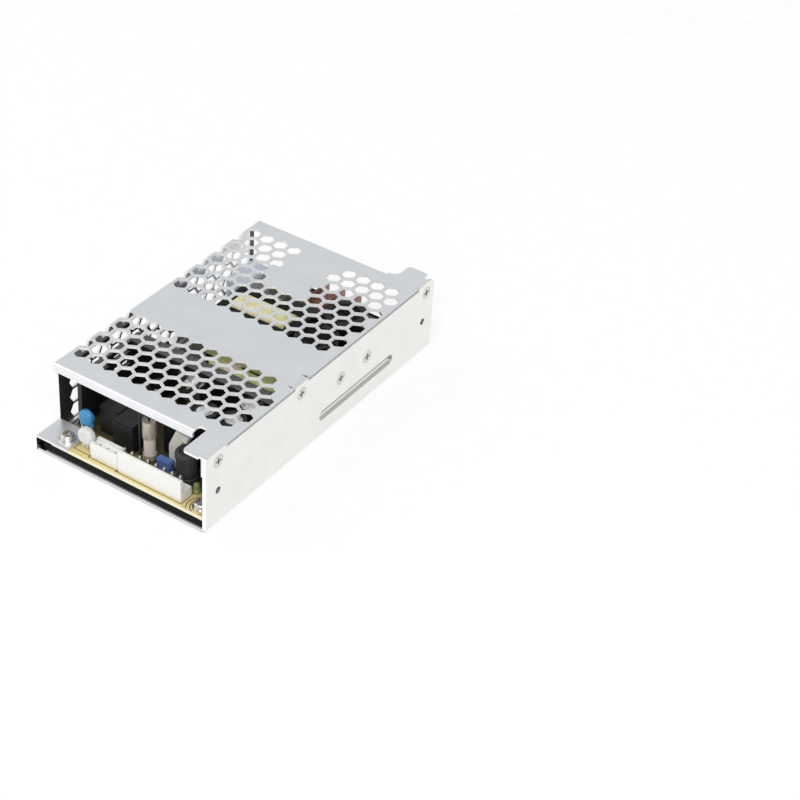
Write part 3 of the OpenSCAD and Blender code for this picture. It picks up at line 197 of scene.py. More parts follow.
# %% [markdown]
# ## Sky and floor
# The supply stands on a light table: a pale floor that glows a little, so that almost no shadow falls on it.
# A plain white floor under strong lamps would be the other way, but there the shadows show.
# Bare metal shows what it mirrors: the flat top mirrors the greyer sky, and the upright walls the white floor.

# %% Build the sky and the floor
SKY, SKY_STRENGTH = (0.97, 0.985, 1.0, 1), 0.66
scene.view_settings.view_transform = "Standard"
world = bpy.data.worlds.new("studio")
world.use_nodes = True
sky = world.node_tree.nodes["Background"]
sky.inputs["Color"].default_value, sky.inputs["Strength"].default_value = SKY, SKY_STRENGTH
scene.world = world

FLOOR_HALF, FLOOR_Z = 3.0, -0.2 * MM
FLOOR_GLOW, GLOW_STRENGTH = (1, 1, 0.995, 1), 0.68
light_table = finish("light_table", low=(0.30, 0.30, 0.30), high=(0.32, 0.32, 0.32), rough=(0.8, 0.9),
                     grain_mm=8, depth_mm=0.01, Emission_Color=FLOOR_GLOW, Emission_Strength=GLOW_STRENGTH,
                     Specular_IOR_Level=0.0)
square = ((-1, -1), (1, -1), (1, 1), (-1, 1))
floor_mesh = bpy.data.meshes.new("floor")
floor_mesh.from_pydata([(x * FLOOR_HALF, y * FLOOR_HALF, FLOOR_Z) for x, y in square], [], [(0, 1, 2, 3)])
floor_mesh.materials.append(light_table)
floor = bpy.data.objects.new("floor", floor_mesh)
scene.collection.objects.link(floor)
floor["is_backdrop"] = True
print("floor is", 2 * FLOOR_HALF, "m wide")

# %% [markdown]
# ## Soft lights
# One large soft light stands on the camera's side and lifts every dull surface that faces it.
# A weaker one from the left keeps the far side from going dark.
# Point or sun lamps would draw hard shadows; an area lamp is soft because of its size.

# %% Hang the lights
BOX_SIZE = 1.6
KEY_AT, KEY_WATTS = (1.1, -1.5, 1.9), 34
FILL_AT, FILL_WATTS = (-1.7, -0.6, 1.6), 12


def softbox(name, at, watts):
    """A square area light at a place, aimed at the middle of the case."""
    light = bpy.data.lights.new(name, "AREA")
    light.shape, light.size, light.energy = "SQUARE", BOX_SIZE, watts
    box = bpy.data.objects.new(name, light)
    scene.collection.objects.link(box)
    box.location = at
    box.rotation_euler = (centre - Vector(at)).to_track_quat("-Z", "Y").to_euler()


softbox("key", KEY_AT, KEY_WATTS)
softbox("fill", FILL_AT, FILL_WATTS)

# %% [markdown]
# ## Masks
# Chassis and cover are each folded from one sheet, but not every part of a sheet looks alike: cut edges, for one.
# Separate materials on separate faces could say so, but a solid's faces stay as they are here.
# So the shader finds such places itself, by where a point lies on the object and which way its surface faces.
# The result is a mask: 1 at the place it stands for, and 0 elsewhere.

# %% Helpers for masks
MORE, LESS = "GREATER_THAN", "LESS_THAN"
LEANING = 0.5


def axis_of(tree, source, axis):
    """One axis of a vector socket."""
    return put(tree, "SeparateXYZ", {"Vector": source}).outputs[axis]


def calc(tree, operation, first, second):
    """A Math node on a socket and a number, or on two sockets."""
    number = not isinstance(second, bpy.types.NodeSocket)
    made = put(tree, "Math", {0: first} if number else {0: first, 1: second}, operation=operation)
    if number:
        made.inputs[1].default_value = second
    return made.outputs[0]


def own(tree, axis):
    """Where a point lies along that axis of the object."""
    return axis_of(tree, put(tree, "TexCoord").outputs["Object"], axis)


def slant(tree, axis):
    """How far the surface faces along that axis, from -1 to 1."""
    return axis_of(tree, put(tree, "NewGeometry").outputs["Normal"], axis)


def beyond(tree, axis, side, level):
    """1 where the object's own axis lies on that side of the level, else 0."""
    return calc(tree, side, own(tree, axis), level)


def all_of(tree, *masks):
    """The product of masks: 1 where every one of them is 1."""
    product = masks[0]
    for mask in masks[1:]:
        product = calc(tree, "MULTIPLY", product, mask)
    return product


def cut_edge(tree, axis, side, level):
    """1 on faces that stand across the sheet lying beyond that level of that axis, else 0."""
    across = calc(tree, LESS, calc(tree, "ABSOLUTE", slant(tree, axis), 0), LEANING)
    return all_of(tree, across, beyond(tree, axis, side, level))


print("helpers ready: beyond, all_of, cut_edge")

# %% [markdown]
# ## Sheet metal
# Chassis and cover are plain satin sheet, with a soft cloudiness and hardly any grain.
# Punching tears the last part of a hole's wall, so that cut edges are rough and scatter light: they look almost white.
# A bevel along the edges could catch light too, but the solids stay unchanged.
# So a mask of the edges swaps satin metal for a pale, dull tone there.

# %% Finish of the sheets
SHEET_MM, RIM_MM = 1.15, 0.3
CLOUD_MM, CLOUD_DEPTH_MM, SKIN_MM, SKIN_DEPTH_MM = 11, 0.02, 0.35, 0.002
SHEET_METALLIC, TORN_MM, TORN_ROUGH = 0.85, 0.3, 0.6
TORN_LOW, TORN_HIGH = (0.86, 0.86, 0.85), (0.95, 0.95, 0.945)


def blend(tree, mask, under, over):
    """One colour where the mask is 0, the other where it is 1."""
    return put(tree, "Mix", {"Factor": mask, 6: under, 7: over}, data_type="RGBA").outputs[2]


def satin_sheet(name, low, high, rough, cuts, mask):
    """Satin sheet; cuts lists (axis, side, level) of the places where its edges are rough and bright."""
    material = finish(name, low, high, rough, CLOUD_MM, depth_mm=CLOUD_DEPTH_MM)
    tree = material.node_tree
    shader = tree.nodes["Principled BSDF"]
    bare, haze, clouds = (shader.inputs[key].links[0].from_socket for key in ("Base Color", "Roughness", "Normal"))
    edge = mask(tree, *cuts[0])
    for cut in cuts[1:]:
        edge = calc(tree, "MAXIMUM", edge, mask(tree, *cut))
    colour = blend(tree, edge, bare, tone(tree, grain(tree, TORN_MM), TORN_LOW, TORN_HIGH))
    metal = put(tree, "MapRange", {"Value": edge}, To_Min=SHEET_METALLIC, To_Max=0.0).outputs["Result"]
    dull = calc(tree, "MAXIMUM", haze, calc(tree, "MULTIPLY", edge, TORN_ROUGH))
    skin = relief(tree, grain(tree, SKIN_MM), SKIN_DEPTH_MM, clouds)
    for key, source in (("Base Color", colour), ("Metallic", metal), ("Roughness", dull), ("Normal", skin)):
        tree.links.new(source, shader.inputs[key])
    return material


under_top, inside_left = cad_high.z - SHEET_MM * MM, cad_low.x + SHEET_MM * MM
front_rim, rear_rim = cad_low.y + RIM_MM * MM, cad_high.y - RIM_MM * MM
chassis = satin_sheet("chassis_sheet", (0.83, 0.826, 0.805), (0.87, 0.867, 0.85), (0.34, 0.44),
                      [("Y", LESS, front_rim), ("Y", MORE, rear_rim)], beyond)
cover = satin_sheet("cover_sheet", (0.845, 0.855, 0.87), (0.87, 0.88, 0.895), (0.36, 0.42),
                    [("Z", MORE, under_top), ("X", LESS, inside_left)], cut_edge)
finishes = {"chassis_sheet": chassis, "cover_sheet": cover}
print("sheet finishes:", sorted(finishes))

# %% [markdown]
# ## Painted shade on the cover
# In the picture some places of the cover read darker than sheet and light alone make them here.
# Other lights might bring that out too, but they would change everything else with it.
# So shade is painted into each such place through a mask, as a darker tone of its own.
# The tones are matched to the picture, and are no known difference in the real sheet.

# %% Helpers for tones
def facing(tree, axis, side, share):
    """1 where the surface faces along that axis by more, or less, than that share, else 0."""
    return calc(tree, side, slant(tree, axis), share)


def rising(tree, axis, start, full):
    """Rises from 0 to 1 between two levels of the object's own axis."""
    return put(tree, "MapRange", {"Value": own(tree, axis)}, From_Min=start, From_Max=full).outputs["Result"]


def recolour(material, mask, low, high, grain_mm):
    """Gives a finish another grained colour where a mask made in its tree is 1."""
    tree = material.node_tree
    colour = tree.nodes["Principled BSDF"].inputs["Base Color"]
    other = tone(tree, grain(tree, grain_mm), low, high)
    tree.links.new(blend(tree, mask, colour.links[0].from_socket, other), colour)


print("helpers ready: facing, rising, recolour")

# %% Paint shade into places of the cover
WALL_SHADE_TOP, WALL_SHADE_FADE, STRIP_FROM = 30 * MM, (40 * MM, 0.0), 61.5 * MM
RELIEF_IN, RELIEF_SPAN = 4.0 * MM, 45 * MM
tree = cover.node_tree
to_right = facing(tree, "X", MORE, LEANING)

# Painted shade: the inner side of the perforated wall is darkened in front, less towards the rear
wall_inside = all_of(tree, to_right, beyond(tree, "X", LESS, inside_left))
painted_wall_shade = all_of(tree, wall_inside, beyond(tree, "Z", LESS, WALL_SHADE_TOP), rising(tree, "Y", *WALL_SHADE_FADE))
recolour(cover, painted_wall_shade, (0.10, 0.10, 0.105), (0.16, 0.16, 0.165), 2.0)

# Painted shade: the plain strip at the wall's rear end is darkened too
rear_strip_shade = all_of(tree, wall_inside, beyond(tree, "Y", MORE, STRIP_FROM))
recolour(cover, rear_strip_shade, (0.05, 0.05, 0.052), (0.09, 0.09, 0.092), 2.0)

# Painted shadow: a dark line where the cover meets the right wall, for the shade in the gap between them
seam_shadow = all_of(tree, to_right, beyond(tree, "X", MORE, cad_high.x - RIM_MM * MM))
recolour(cover, seam_shadow, (0.28, 0.28, 0.27), (0.38, 0.38, 0.37), 1.0)

# Painted shade: the walls of the two relief cuts at the ear of the cover are darkened, so they read as dark dots
relief_cut_shade = all_of(tree, facing(tree, "Y", LESS, -LEANING), beyond(tree, "X", MORE, cad_high.x - RELIEF_IN),
                     beyond(tree, "Y", MORE, -RELIEF_SPAN), beyond(tree, "Y", LESS, RELIEF_SPAN))
recolour(cover, relief_cut_shade, (0.04, 0.04, 0.04), (0.07, 0.07, 0.07), 1.0)
print("cover has", len(tree.nodes), "shader nodes")

# %% [markdown]
# ## Tones of the chassis
# The long bead pressed into the right wall shows in the picture as two grey lines, and the base's front edge
# as a third. The bead is there in the solid, but the even light hardly draws it.
# So shade is painted onto the bead and a few other places through the same masks as before:
# its two sloping sides are told apart by which way they face.

# %% Darken places of the chassis
STRAIGHT, LIFTED = 0.95, 0.2
BEAD_ABOVE, FLOOR_IN, MARGIN_Z = 5 * MM, 0.5 * MM, (11.1 * MM, 12.3 * MM)
BASE_T = 1.6 * MM
CORNER_X, CORNER_Y, CORNER_Z = -37.5 * MM, -70 * MM, (1.4 * MM, 6 * MM)
tree = chassis.node_tree
in_wall = beyond(tree, "X", MORE, cad_high.x - SHEET_MM * MM)

# Painted shade: the upper and lower sloping side of the bead are darkened, the lower one less
bead_slope_shade = all_of(tree, facing(tree, "X", LESS, STRAIGHT), facing(tree, "X", MORE, LEANING),
               beyond(tree, "Z", MORE, BEAD_ABOVE), in_wall)
recolour(chassis, bead_slope_shade, (0.20, 0.20, 0.195), (0.28, 0.28, 0.27), 1.5)
lower_slope_shade = all_of(tree, bead_slope_shade, facing(tree, "Z", MORE, LIFTED))
recolour(chassis, lower_slope_shade, (0.51, 0.505, 0.49), (0.60, 0.595, 0.58), 1.5)

# Painted shade: a darker strip along the upper margin of its floor widens the upper line
bead_margin_shade = all_of(tree, facing(tree, "X", MORE, STRAIGHT), beyond(tree, "X", LESS, cad_high.x - FLOOR_IN), in_wall,
                beyond(tree, "Z", MORE, MARGIN_Z[0]), beyond(tree, "Z", LESS, MARGIN_Z[1]))
recolour(chassis, bead_margin_shade, (0.36, 0.355, 0.35), (0.44, 0.435, 0.43), 1.5)

# The base's front edge is a light grey line under the dark gap
base_rim = all_of(tree, beyond(tree, "Y", LESS, front_rim), beyond(tree, "Z", LESS, BASE_T))
recolour(chassis, base_rim, (0.58, 0.58, 0.57), (0.66, 0.66, 0.65), 1.0)

# Painted shade: the front left corner of the base is made as dark as the shaded gap beside it
corner = all_of(tree, beyond(tree, "X", LESS, CORNER_X), beyond(tree, "Y", LESS, CORNER_Y),
                beyond(tree, "Z", MORE, CORNER_Z[0]), beyond(tree, "Z", LESS, CORNER_Z[1]))
recolour(chassis, corner, (0.010, 0.010, 0.011), (0.022, 0.022, 0.024), 1.5)
print("chassis has", len(tree.nodes), "shader nodes")

# %% [markdown]
# ## Plated and drawn metal
# Screws and standoffs are zinc plated, pins and leads are tinned, capacitor cans are bright drawn aluminium,
# the clip is spring steel and the heatsink is black anodised.
# They share one recipe and differ in colour, gloss and size of grain, so a table says it best.

# %% Finishes of the small metal parts
UPWARD = 0.7
ALONG_Z = (1, 1, 0.1)


def add_finishes(table):
    """Makes a finish for each material slot in a table of recipes."""
    for slot, recipe in table.items():
        finishes[slot] = finish(slot, **recipe)


add_finishes({
    "plated_steel": dict(low=(0.60, 0.59, 0.55), high=(0.76, 0.75, 0.72), rough=(0.24, 0.38), grain_mm=0.6,
                         Metallic=1.0),
    "tinned_pins": dict(low=(0.72, 0.71, 0.69), high=(0.86, 0.85, 0.83), rough=(0.16, 0.30), grain_mm=0.4,
                        Metallic=1.0),
    "can_metal": dict(low=(0.80, 0.80, 0.80), high=(0.90, 0.90, 0.90), rough=(0.22, 0.34), grain_mm=0.3,
                      Metallic=1.0),
    "clip_steel": dict(low=(0.55, 0.55, 0.54), high=(0.68, 0.68, 0.66), rough=(0.28, 0.40), grain_mm=0.4,
                       stretch=ALONG_Z, Metallic=1.0),
    "black_anodised": dict(low=(0.008, 0.008, 0.009), high=(0.014, 0.014, 0.016), rough=(0.4, 0.55),
                           grain_mm=0.25, stretch=ALONG_Z, Specular_IOR_Level=0.4),
    "copper_wire": dict(low=(0.55, 0.26, 0.14), high=(0.75, 0.40, 0.25), rough=(0.22, 0.34), grain_mm=0.5,
                        Metallic=0.6, Coat_Weight=0.5),
})

# Painted light: the heatsink's upper faces get a paler tone than its sides, where light from above falls on them
painted_top_light = facing(finishes["black_anodised"].node_tree, "Z", MORE, UPWARD)
recolour(finishes["black_anodised"], painted_top_light, (0.085, 0.085, 0.09), (0.13, 0.13, 0.135), 1.2)
print("finishes so far:", len(finishes))

# %% [markdown]
# ## Mouldings and ceramics
# Black mouldings have a fine spark-eroded texture, nylon is a little see-through,
# ferrite and ceramic are dense and dull.
# Texture could be modelled, but at a quarter of a millimetre a bump in the shader is enough.
# A little subsurface light stands for the nylon, and a low specular level keeps the dull blacks black.

# %% Finishes of mouldings and ceramics
add_finishes({
    "moulded_black": dict(low=(0.008, 0.008, 0.010), high=(0.014, 0.014, 0.017), rough=(0.3, 0.42),
                          grain_mm=0.25, depth_mm=0.008),
    "black_film": dict(low=(0.003, 0.003, 0.004), high=(0.008, 0.008, 0.009), rough=(0.45, 0.6), grain_mm=1.5,
                       Specular_IOR_Level=0.1),
    "white_nylon": dict(low=(0.80, 0.80, 0.765), high=(0.86, 0.855, 0.825), rough=(0.36, 0.48), grain_mm=0.8,
                        Subsurface_Weight=0.15, Subsurface_Scale=0.0006),
    "fuse_ceramic": dict(low=(0.66, 0.56, 0.50), high=(0.76, 0.67, 0.61), rough=(0.45, 0.6), grain_mm=0.5),
    "pad_ceramic": dict(low=(0.70, 0.70, 0.68), high=(0.78, 0.78, 0.75), rough=(0.5, 0.65), grain_mm=0.4),
    "ferrite": dict(low=(0.010, 0.010, 0.011), high=(0.020, 0.020, 0.022), rough=(0.5, 0.65), grain_mm=0.4,
                    depth_mm=0.01, Specular_IOR_Level=0.15),
    "board_laminate": dict(low=(0.68, 0.55, 0.24), high=(0.76, 0.63, 0.30), rough=(0.4, 0.55), grain_mm=0.7,
                           depth_mm=0.01),
})
print("finishes so far:", len(finishes))

# %% [markdown]
# ## Coatings, sleeves and tapes
# Discs and boxes are dipped or cast, with a slight ripple; sleeves are shrunk on; tapes lie in uneven layers.
# These are glossier than mouldings, so most carry a thin clear coat over their own colour.
# The coat is a socket of the same shader, so no second material has to be layered on top.

# %% Finishes of coatings, sleeves and tapes
ACROSS_Z = (1, 1, 2)
add_finishes({
    "white_coating": dict(low=(0.62, 0.61, 0.59), high=(0.73, 0.72, 0.70), rough=(0.35, 0.5), grain_mm=1.2,
                          depth_mm=0.03, Coat_Weight=0.2),
    "blue_coating": dict(low=(0.022, 0.20, 0.47), high=(0.055, 0.32, 0.62), rough=(0.25, 0.38), grain_mm=1.0,
                         depth_mm=0.03, Coat_Weight=0.4),
    "blue_box": dict(low=(0.075, 0.14, 0.36), high=(0.105, 0.19, 0.45), rough=(0.32, 0.45), grain_mm=0.8,
                     Coat_Weight=0.2),
    "grey_box": dict(low=(0.54, 0.59, 0.675), high=(0.60, 0.65, 0.73), rough=(0.22, 0.34), grain_mm=1.4,
                     depth_mm=0.02, Coat_Weight=0.4),
    "white_glue": dict(low=(0.60, 0.585, 0.53), high=(0.72, 0.70, 0.65), rough=(0.3, 0.5), grain_mm=1.5,
                       depth_mm=0.08, Subsurface_Weight=0.2, Subsurface_Scale=0.001),
    "red_winding": dict(low=(0.32, 0.12, 0.095), high=(0.42, 0.18, 0.15), rough=(0.22, 0.36), grain_mm=0.5,
                        Coat_Weight=0.4),
    "yellow_tape": dict(low=(0.84, 0.76, 0.42), high=(0.94, 0.87, 0.58), rough=(0.2, 0.36), grain_mm=3.0,
                        stretch=ACROSS_Z, depth_mm=0.08, Coat_Weight=0.3),
    "black_sleeve": dict(low=(0.006, 0.006, 0.008), high=(0.013, 0.013, 0.015), rough=(0.2, 0.32), grain_mm=1.5,
                         Coat_Weight=0.12, Specular_IOR_Level=0.25),
})
print("finishes so far:", len(finishes))

# %% [markdown]
# ## Tones of board and tape
# Behind the connectors the picture shows no pale board, so shade is painted there;
# the board's front edge is paler than its top.
# The tape of the big choke turns greener towards its right end.
# A painted texture could hold all this; here the masks of the sheets serve again, with a soft rise instead of a step.

# %% Shade the board and the tape
BOARD_SHADE_FADE, TAPE_FADE = (-70 * MM, -62 * MM), (4 * MM, 10 * MM)
board, tape = finishes["board_laminate"], finishes["yellow_tape"]
# Painted shade: the board darkens towards the rear, behind the connectors
recolour(board, rising(board.node_tree, "Y", *BOARD_SHADE_FADE), (0.055, 0.045, 0.02), (0.10, 0.08, 0.035), 1.5)
front_edge = facing(board.node_tree, "Y", LESS, -LEANING)
recolour(board, front_edge, (0.80, 0.74, 0.54), (0.88, 0.82, 0.64), 0.5)
recolour(tape, rising(tape.node_tree, "X", *TAPE_FADE), (0.50, 0.50, 0.18), (0.66, 0.65, 0.28), 3.0)
print("shaded", board.name, "and", tape.name)

# %% [markdown]
# ## Dressing the solids
# The imported record says which material slot each node belongs to, so one loop can hand out the finishes.
# A node's mesh is left as it is: only its material slots change.
# A few nodes get a shade of their own: the transformer's greener tape, the fuse's nickel caps,
# the dull shrink tube round the drum choke, the same dull black on the fuse leads, and near-black on the bulk cans.

# %% Hand out the finishes
olive_tape = finish("olive_tape", low=(0.65, 0.66, 0.30), high=(0.77, 0.78, 0.42), rough=(0.2, 0.36),
                    grain_mm=2.0, stretch=ACROSS_Z, depth_mm=0.08, Coat_Weight=0.3)
fuse_nickel = finish("fuse_nickel", low=(0.50, 0.44, 0.36), high=(0.66, 0.60, 0.52), rough=(0.32, 0.46),
                     grain_mm=0.35, stretch=(1, 1, 0.2), Metallic=0.6)
dull_black = finish("dull_black", low=(0.022, 0.022, 0.024), high=(0.036, 0.036, 0.038), rough=(0.5, 0.66),
                     grain_mm=0.6, depth_mm=0.01)
near_black_can = finish("near_black_can", low=(0.004, 0.004, 0.005), high=(0.009, 0.009, 0.010), rough=(0.5, 0.62),
                    grain_mm=0.8, Specular_IOR_Level=0.1)
own_shade = {"transformer_winding": olive_tape, "fuse_caps": fuse_nickel, "drum_choke": dull_black,
             "fuse_leads": dull_black, "bulk_can_1": near_black_can, "bulk_can_2": near_black_can}
for name, solid in nodes.items():
    solid.data.materials.clear()
    solid.data.materials.append(own_shade.get(name, finishes[slot_of[name]]))
print("dressed", len(nodes), "nodes,", len(own_shade), "of them in a shade of their own")

# %% [markdown]
# ## Mesh helpers
# The pieces below are built in mesh code, from rings of vertices that are joined one to the next.
# Curve objects and modifiers could give most of them too, but a bmesh keeps one plain mesh a piece,
# which exports as it is.

# %% Helpers for meshes
def new_piece(name, bm, slot, material=None, smooth=True):
    """Makes an object from a bmesh and lets it ride on the case; the slot gives the finish if no material does."""
    bmesh.ops.recalc_face_normals(bm, faces=bm.faces)
    mesh = bpy.data.meshes.new(name)
    bm.to_mesh(mesh)
    bm.free()
    mesh.polygons.foreach_set("use_smooth", [smooth] * len(mesh.polygons))
    mesh.materials.append(material or finishes[slot])
    made = bpy.data.objects.new(name, mesh)
    scene.collection.objects.link(made)
    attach(made, "root")
    print(name, "has", len(mesh.polygons), "faces")
    return made


def join_rings(bm, rings):
    """Faces between rings of vertices, with a cap at each end."""
    for near, far in zip(rings, rings[1:]):
        for k in range(len(near)):
            after = (k + 1) % len(near)
            bm.faces.new((near[k], near[after], far[after], far[k]))
    bm.faces.new(rings[0][::-1])
    bm.faces.new(rings[-1])


def box_mm(node):
    """A node's lowest and highest corner in millimetres."""
    return tuple(Vector(corner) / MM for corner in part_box(node))


board_low, board_high = box_mm("circuit_board")
print("board top at", round(board_high.z, 2), "mm")

# %% [markdown]
# ## Print on the board
# A bare laminate looks unfinished: boards carry printed outlines that show where each component goes,
# and rings round the mounting holes that keep other parts clear of the screw heads.
# An image texture would be the usual way. Here each line is a very thin solid ribbon, cut off at the board's edge.

# %% Helpers for lines of ink
INK_T, INK_W = 0.04, 0.35


def heading(points, i):
    """Which way a line of points runs at one of them."""
    return (points[min(i + 1, len(points) - 1)] - points[max(i - 1, 0)]).normalized()


def ribbon(bm, points):
    """A thin solid strip along points on the board; what lies off the board is left out."""
    stretches = [[]]
    for x, y in points:
        if (board_low.x + INK_W < x < board_high.x - INK_W) and (board_low.y + INK_W < y < board_high.y - INK_W):
            stretches[-1].append(Vector((x, y, 0)))
        elif stretches[-1]:
            stretches.append([])
    for stretch in (s for s in stretches if len(s) > 1):
        rings = []
        for i, point in enumerate(stretch):
            ahead = heading(stretch, i)
            aside = Vector((-ahead.y, ahead.x, 0)) * INK_W / 2
            section = [(aside, 0), (-aside, 0), (-aside, INK_T), (aside, INK_T)]
            rings.append([bm.verts.new((point + a + Vector((0, 0, board_high.z + h))) * MM) for a, h in section])
        join_rings(bm, rings)


print("board is", [round(x, 1) for x in (board_high - board_low)[:2]], "mm")

# %% [markdown]
# ## Rings, boxes and circles of ink
# The picture shows two rings round the front right screw.
# Outlines round the components are what such boards usually carry. They could be drawn by hand on a plan of the board;
# here they come from the solids' own footprints, so that they still fit when a component changes size.

# %% Helpers for footprints
CIRCLE_STEPS = 72


def circle(at, r):
    """Points round a circle on the board, with the first one again at the end."""
    turns = [2 * math.pi * k / CIRCLE_STEPS for k in range(CIRCLE_STEPS + 1)]
    return [(at[0] + r * math.cos(a), at[1] + r * math.sin(a)) for a in turns]


def outline(node, gap):
    """Four lines round a node's footprint, as separate strips."""
    low, high = box_mm(node)
    x0, y0, x1, y1 = low.x - gap, low.y - gap, high.x + gap, high.y + gap
    half = INK_W / 2
    return [[(x0 - half, y0), (x1 + half, y0)], [(x0 - half, y1), (x1 + half, y1)],
            [(x0, y0), (x0, y1)], [(x1, y0), (x1, y1)]]


def middle_of(node):
    """The middle of a node's footprint, in millimetres."""
    low, high = box_mm(node)
    return (low.x + high.x) / 2, (low.y + high.y) / 2


def radius_of(node):
    """Half a node's width, in millimetres."""
    low, high = box_mm(node)
    return (high.x - low.x) / 2


print("helpers ready: circle, outline, middle_of, radius_of")

# %% Board print
HOLE_IN, SCREW_RINGS, BOX_GAP, CIRCLE_GAP = 4.5, (4.3, 5.9), 0.6, 0.5
print_ink = finish("print_ink", low=(0.075, 0.062, 0.022), high=(0.125, 0.10, 0.04), rough=(0.5, 0.65),
                   grain_mm=0.4)
bm = bmesh.new()
for hole_y in (board_low.y + HOLE_IN, board_high.y - HOLE_IN):
    for ring_r in SCREW_RINGS:
        ribbon(bm, circle((board_high.x - HOLE_IN, hole_y), ring_r))
for name in ("input_connector", "output_connector", "relay_1", "relay_2", "power_relay", "blue_capacitor",
             "thermistor", "transformer_bobbin", "boost_core", "film_capacitor", "line_choke", "bridge_rectifier"):
    for line in outline(name, BOX_GAP):
        ribbon(bm, line)
for name in ("drum_choke", "fuse_tube", "small_sleeve", "output_sleeve_1", "output_sleeve_2", "output_sleeve_3",
             "output_sleeve_4", "bulk_sleeve_1", "bulk_sleeve_2"):
    ribbon(bm, circle(middle_of(name), radius_of(name) + CIRCLE_GAP))
new_piece("board_print", bm, "board_laminate", print_ink, smooth=False)

# %% [markdown]
# ## Status lamp
# A small greenish spot behind the right end of the output connector is read here as a lamp, cast in clear resin:
# a straight body with a collar at its foot and a dome on top.
# A cylinder and a sphere could be joined, but a profile turned round its axis gives all of that at once.
# A little light passes through the resin.

# %% Helper for turned shapes
TURNED_SIDES = 24


def round_angles(count):
    """Angles that part a full turn evenly."""
    return [2 * math.pi * k / count for k in range(count)]


def turned(bm, at, profile):
    """A profile of (radius, height) turned round an upright axis; the ends are closed by caps."""
    join_rings(bm, [[bm.verts.new(Vector((at[0] + r * math.cos(a), at[1] + r * math.sin(a), z)) * MM)
                     for a in round_angles(TURNED_SIDES)] for r, z in profile])


print("helper ready: turned")

# %% Lamp
LAMP_AT, LAMP_R, LAMP_H, LAMP_TIP_R, DOME_STEPS = (29.3, -66.9), 1.5, 4.4, 0.05, 8
# Radius and height of each point, from the foot up
collar = [(1.0, 0), (1.75, 0), (1.9, 0.15), (1.9, 0.75), (1.8, 0.9), (LAMP_R, 0.95)]
dome_angles = [math.pi / 2 * k / DOME_STEPS for k in range(DOME_STEPS)]
dome = [(LAMP_R * math.cos(a), LAMP_H - LAMP_R + LAMP_R * math.sin(a)) for a in dome_angles]
lamp_resin = finish("lamp_resin", low=(0.20, 0.22, 0.06), high=(0.30, 0.31, 0.10), rough=(0.12, 0.2), grain_mm=1.0,
                    Transmission_Weight=0.25, Coat_Weight=0.5)
bm = bmesh.new()
turned(bm, LAMP_AT, [(r, board_high.z + z) for r, z in collar + dome + [(LAMP_TIP_R, LAMP_H)]])
new_piece("status_lamp", bm, "yellow_tape", lamp_resin)

# %% [markdown]
# ## Runs of coating
# The discs are dipped with their legs already on, so the coating runs down each leg and sets there as a thick drop.
# Metaballs could melt drop and disc together, but a solid of revolution round every leg is enough:
# wide where it leaves the disc, narrower below, with a round end.

# %% Coating on the legs
def coating_runs(name, legs, top, end, wide, slot):
    """A tapering run of coating round each leg, from inside the disc down to its round end."""
    # Radius and height of each point, from the tip up into the disc
    tip = [(0.3, end), (0.62 * wide, end + 0.06), (0.82 * wide, end + 0.3), (0.9 * wide, end + 0.8)]
    shoulder = [(wide, (top + end) / 2 + 0.2), (1.12 * wide, top - 0.2), (0.9 * wide, top + 0.5)]
    bm = bmesh.new()
    for leg in legs:
        turned(bm, leg, tip + shoulder)
    new_piece(name, bm, slot)


# The picture shows a few pale teeth under the thermistor, so one run hangs between its two legs
TOOTH_STEP, TOOTH_IN, TOOTH_CLEAR, TOOTH_R = 1.6, 0.5, 0.35, 0.62
x, y = middle_of("thermistor")
low, high = box_mm("thermistor")
coating_runs("thermistor_runs", [(x + s * TOOTH_STEP, y) for s in (-1, 0, 1)], low.z + TOOTH_IN,
             board_high.z + TOOTH_CLEAR, TOOTH_R, "white_coating")

LEAD_STEP, DROP_IN, DROP_DOWN, DROP_R = 2.5, 1.1, 1.4, 0.75
for name, across in (("y_capacitor_1", (1, 0)), ("y_capacitor_2", (0, 1))):
    x, y = middle_of(name)
    low, high = box_mm(name)
    legs = [(x + s * LEAD_STEP * across[0], y + s * LEAD_STEP * across[1]) for s in (-1, 1)]
    coating_runs(name + "_runs", legs, low.z + DROP_IN, low.z - DROP_DOWN, DROP_R, "blue_coating")

# %% [markdown]
# ## Glue
# A strand of white glue ties the tall parts together, so that they don't shake loose. Squeezed out by hand,
# it sags, bulges and has no flat face. Sculpting could give that, but not the same way at each run of a script.
# Starting from the CAD bead, lumps are added along it, a voxel remesh melts everything into one skin,
# and smoothing rounds it off.

# %% Glue
LUMPS, LUMP_R, LUMP_SWELL, LUMP_DETAIL = 9, 0.95, 0.35, 3
FOOT_X, LEAN, LEAN_POWER, SWAY_X, SWAY_Y = 1.3, 5.2, 1.6, 0.5, 0.75
FOOT_Z, CLIMB = 1.2, 15.5
WAVE_X, WAVE_Y, WAVE_R = 4.1, 2.3, 1.7
VOXEL_MM, SOFTENING, SOFT_ROUNDS = 0.28, 0.5, 6


def melt(piece):
    """Remeshes an object into one skin, smooths it, and keeps the result as its mesh."""
    skin = piece.modifiers.new("skin", "REMESH")
    skin.mode, skin.voxel_size = "VOXEL", VOXEL_MM * MM
    soft = piece.modifiers.new("soft", "SMOOTH")
    soft.factor, soft.iterations = SOFTENING, SOFT_ROUNDS
    bpy.context.view_layer.update()
    melted = bpy.data.meshes.new_from_object(piece.evaluated_get(bpy.context.evaluated_depsgraph_get()))
    piece.modifiers.clear()
    piece.data = melted
    melted.polygons.foreach_set("use_smooth", [True] * len(melted.polygons))
    return len(melted.polygons)


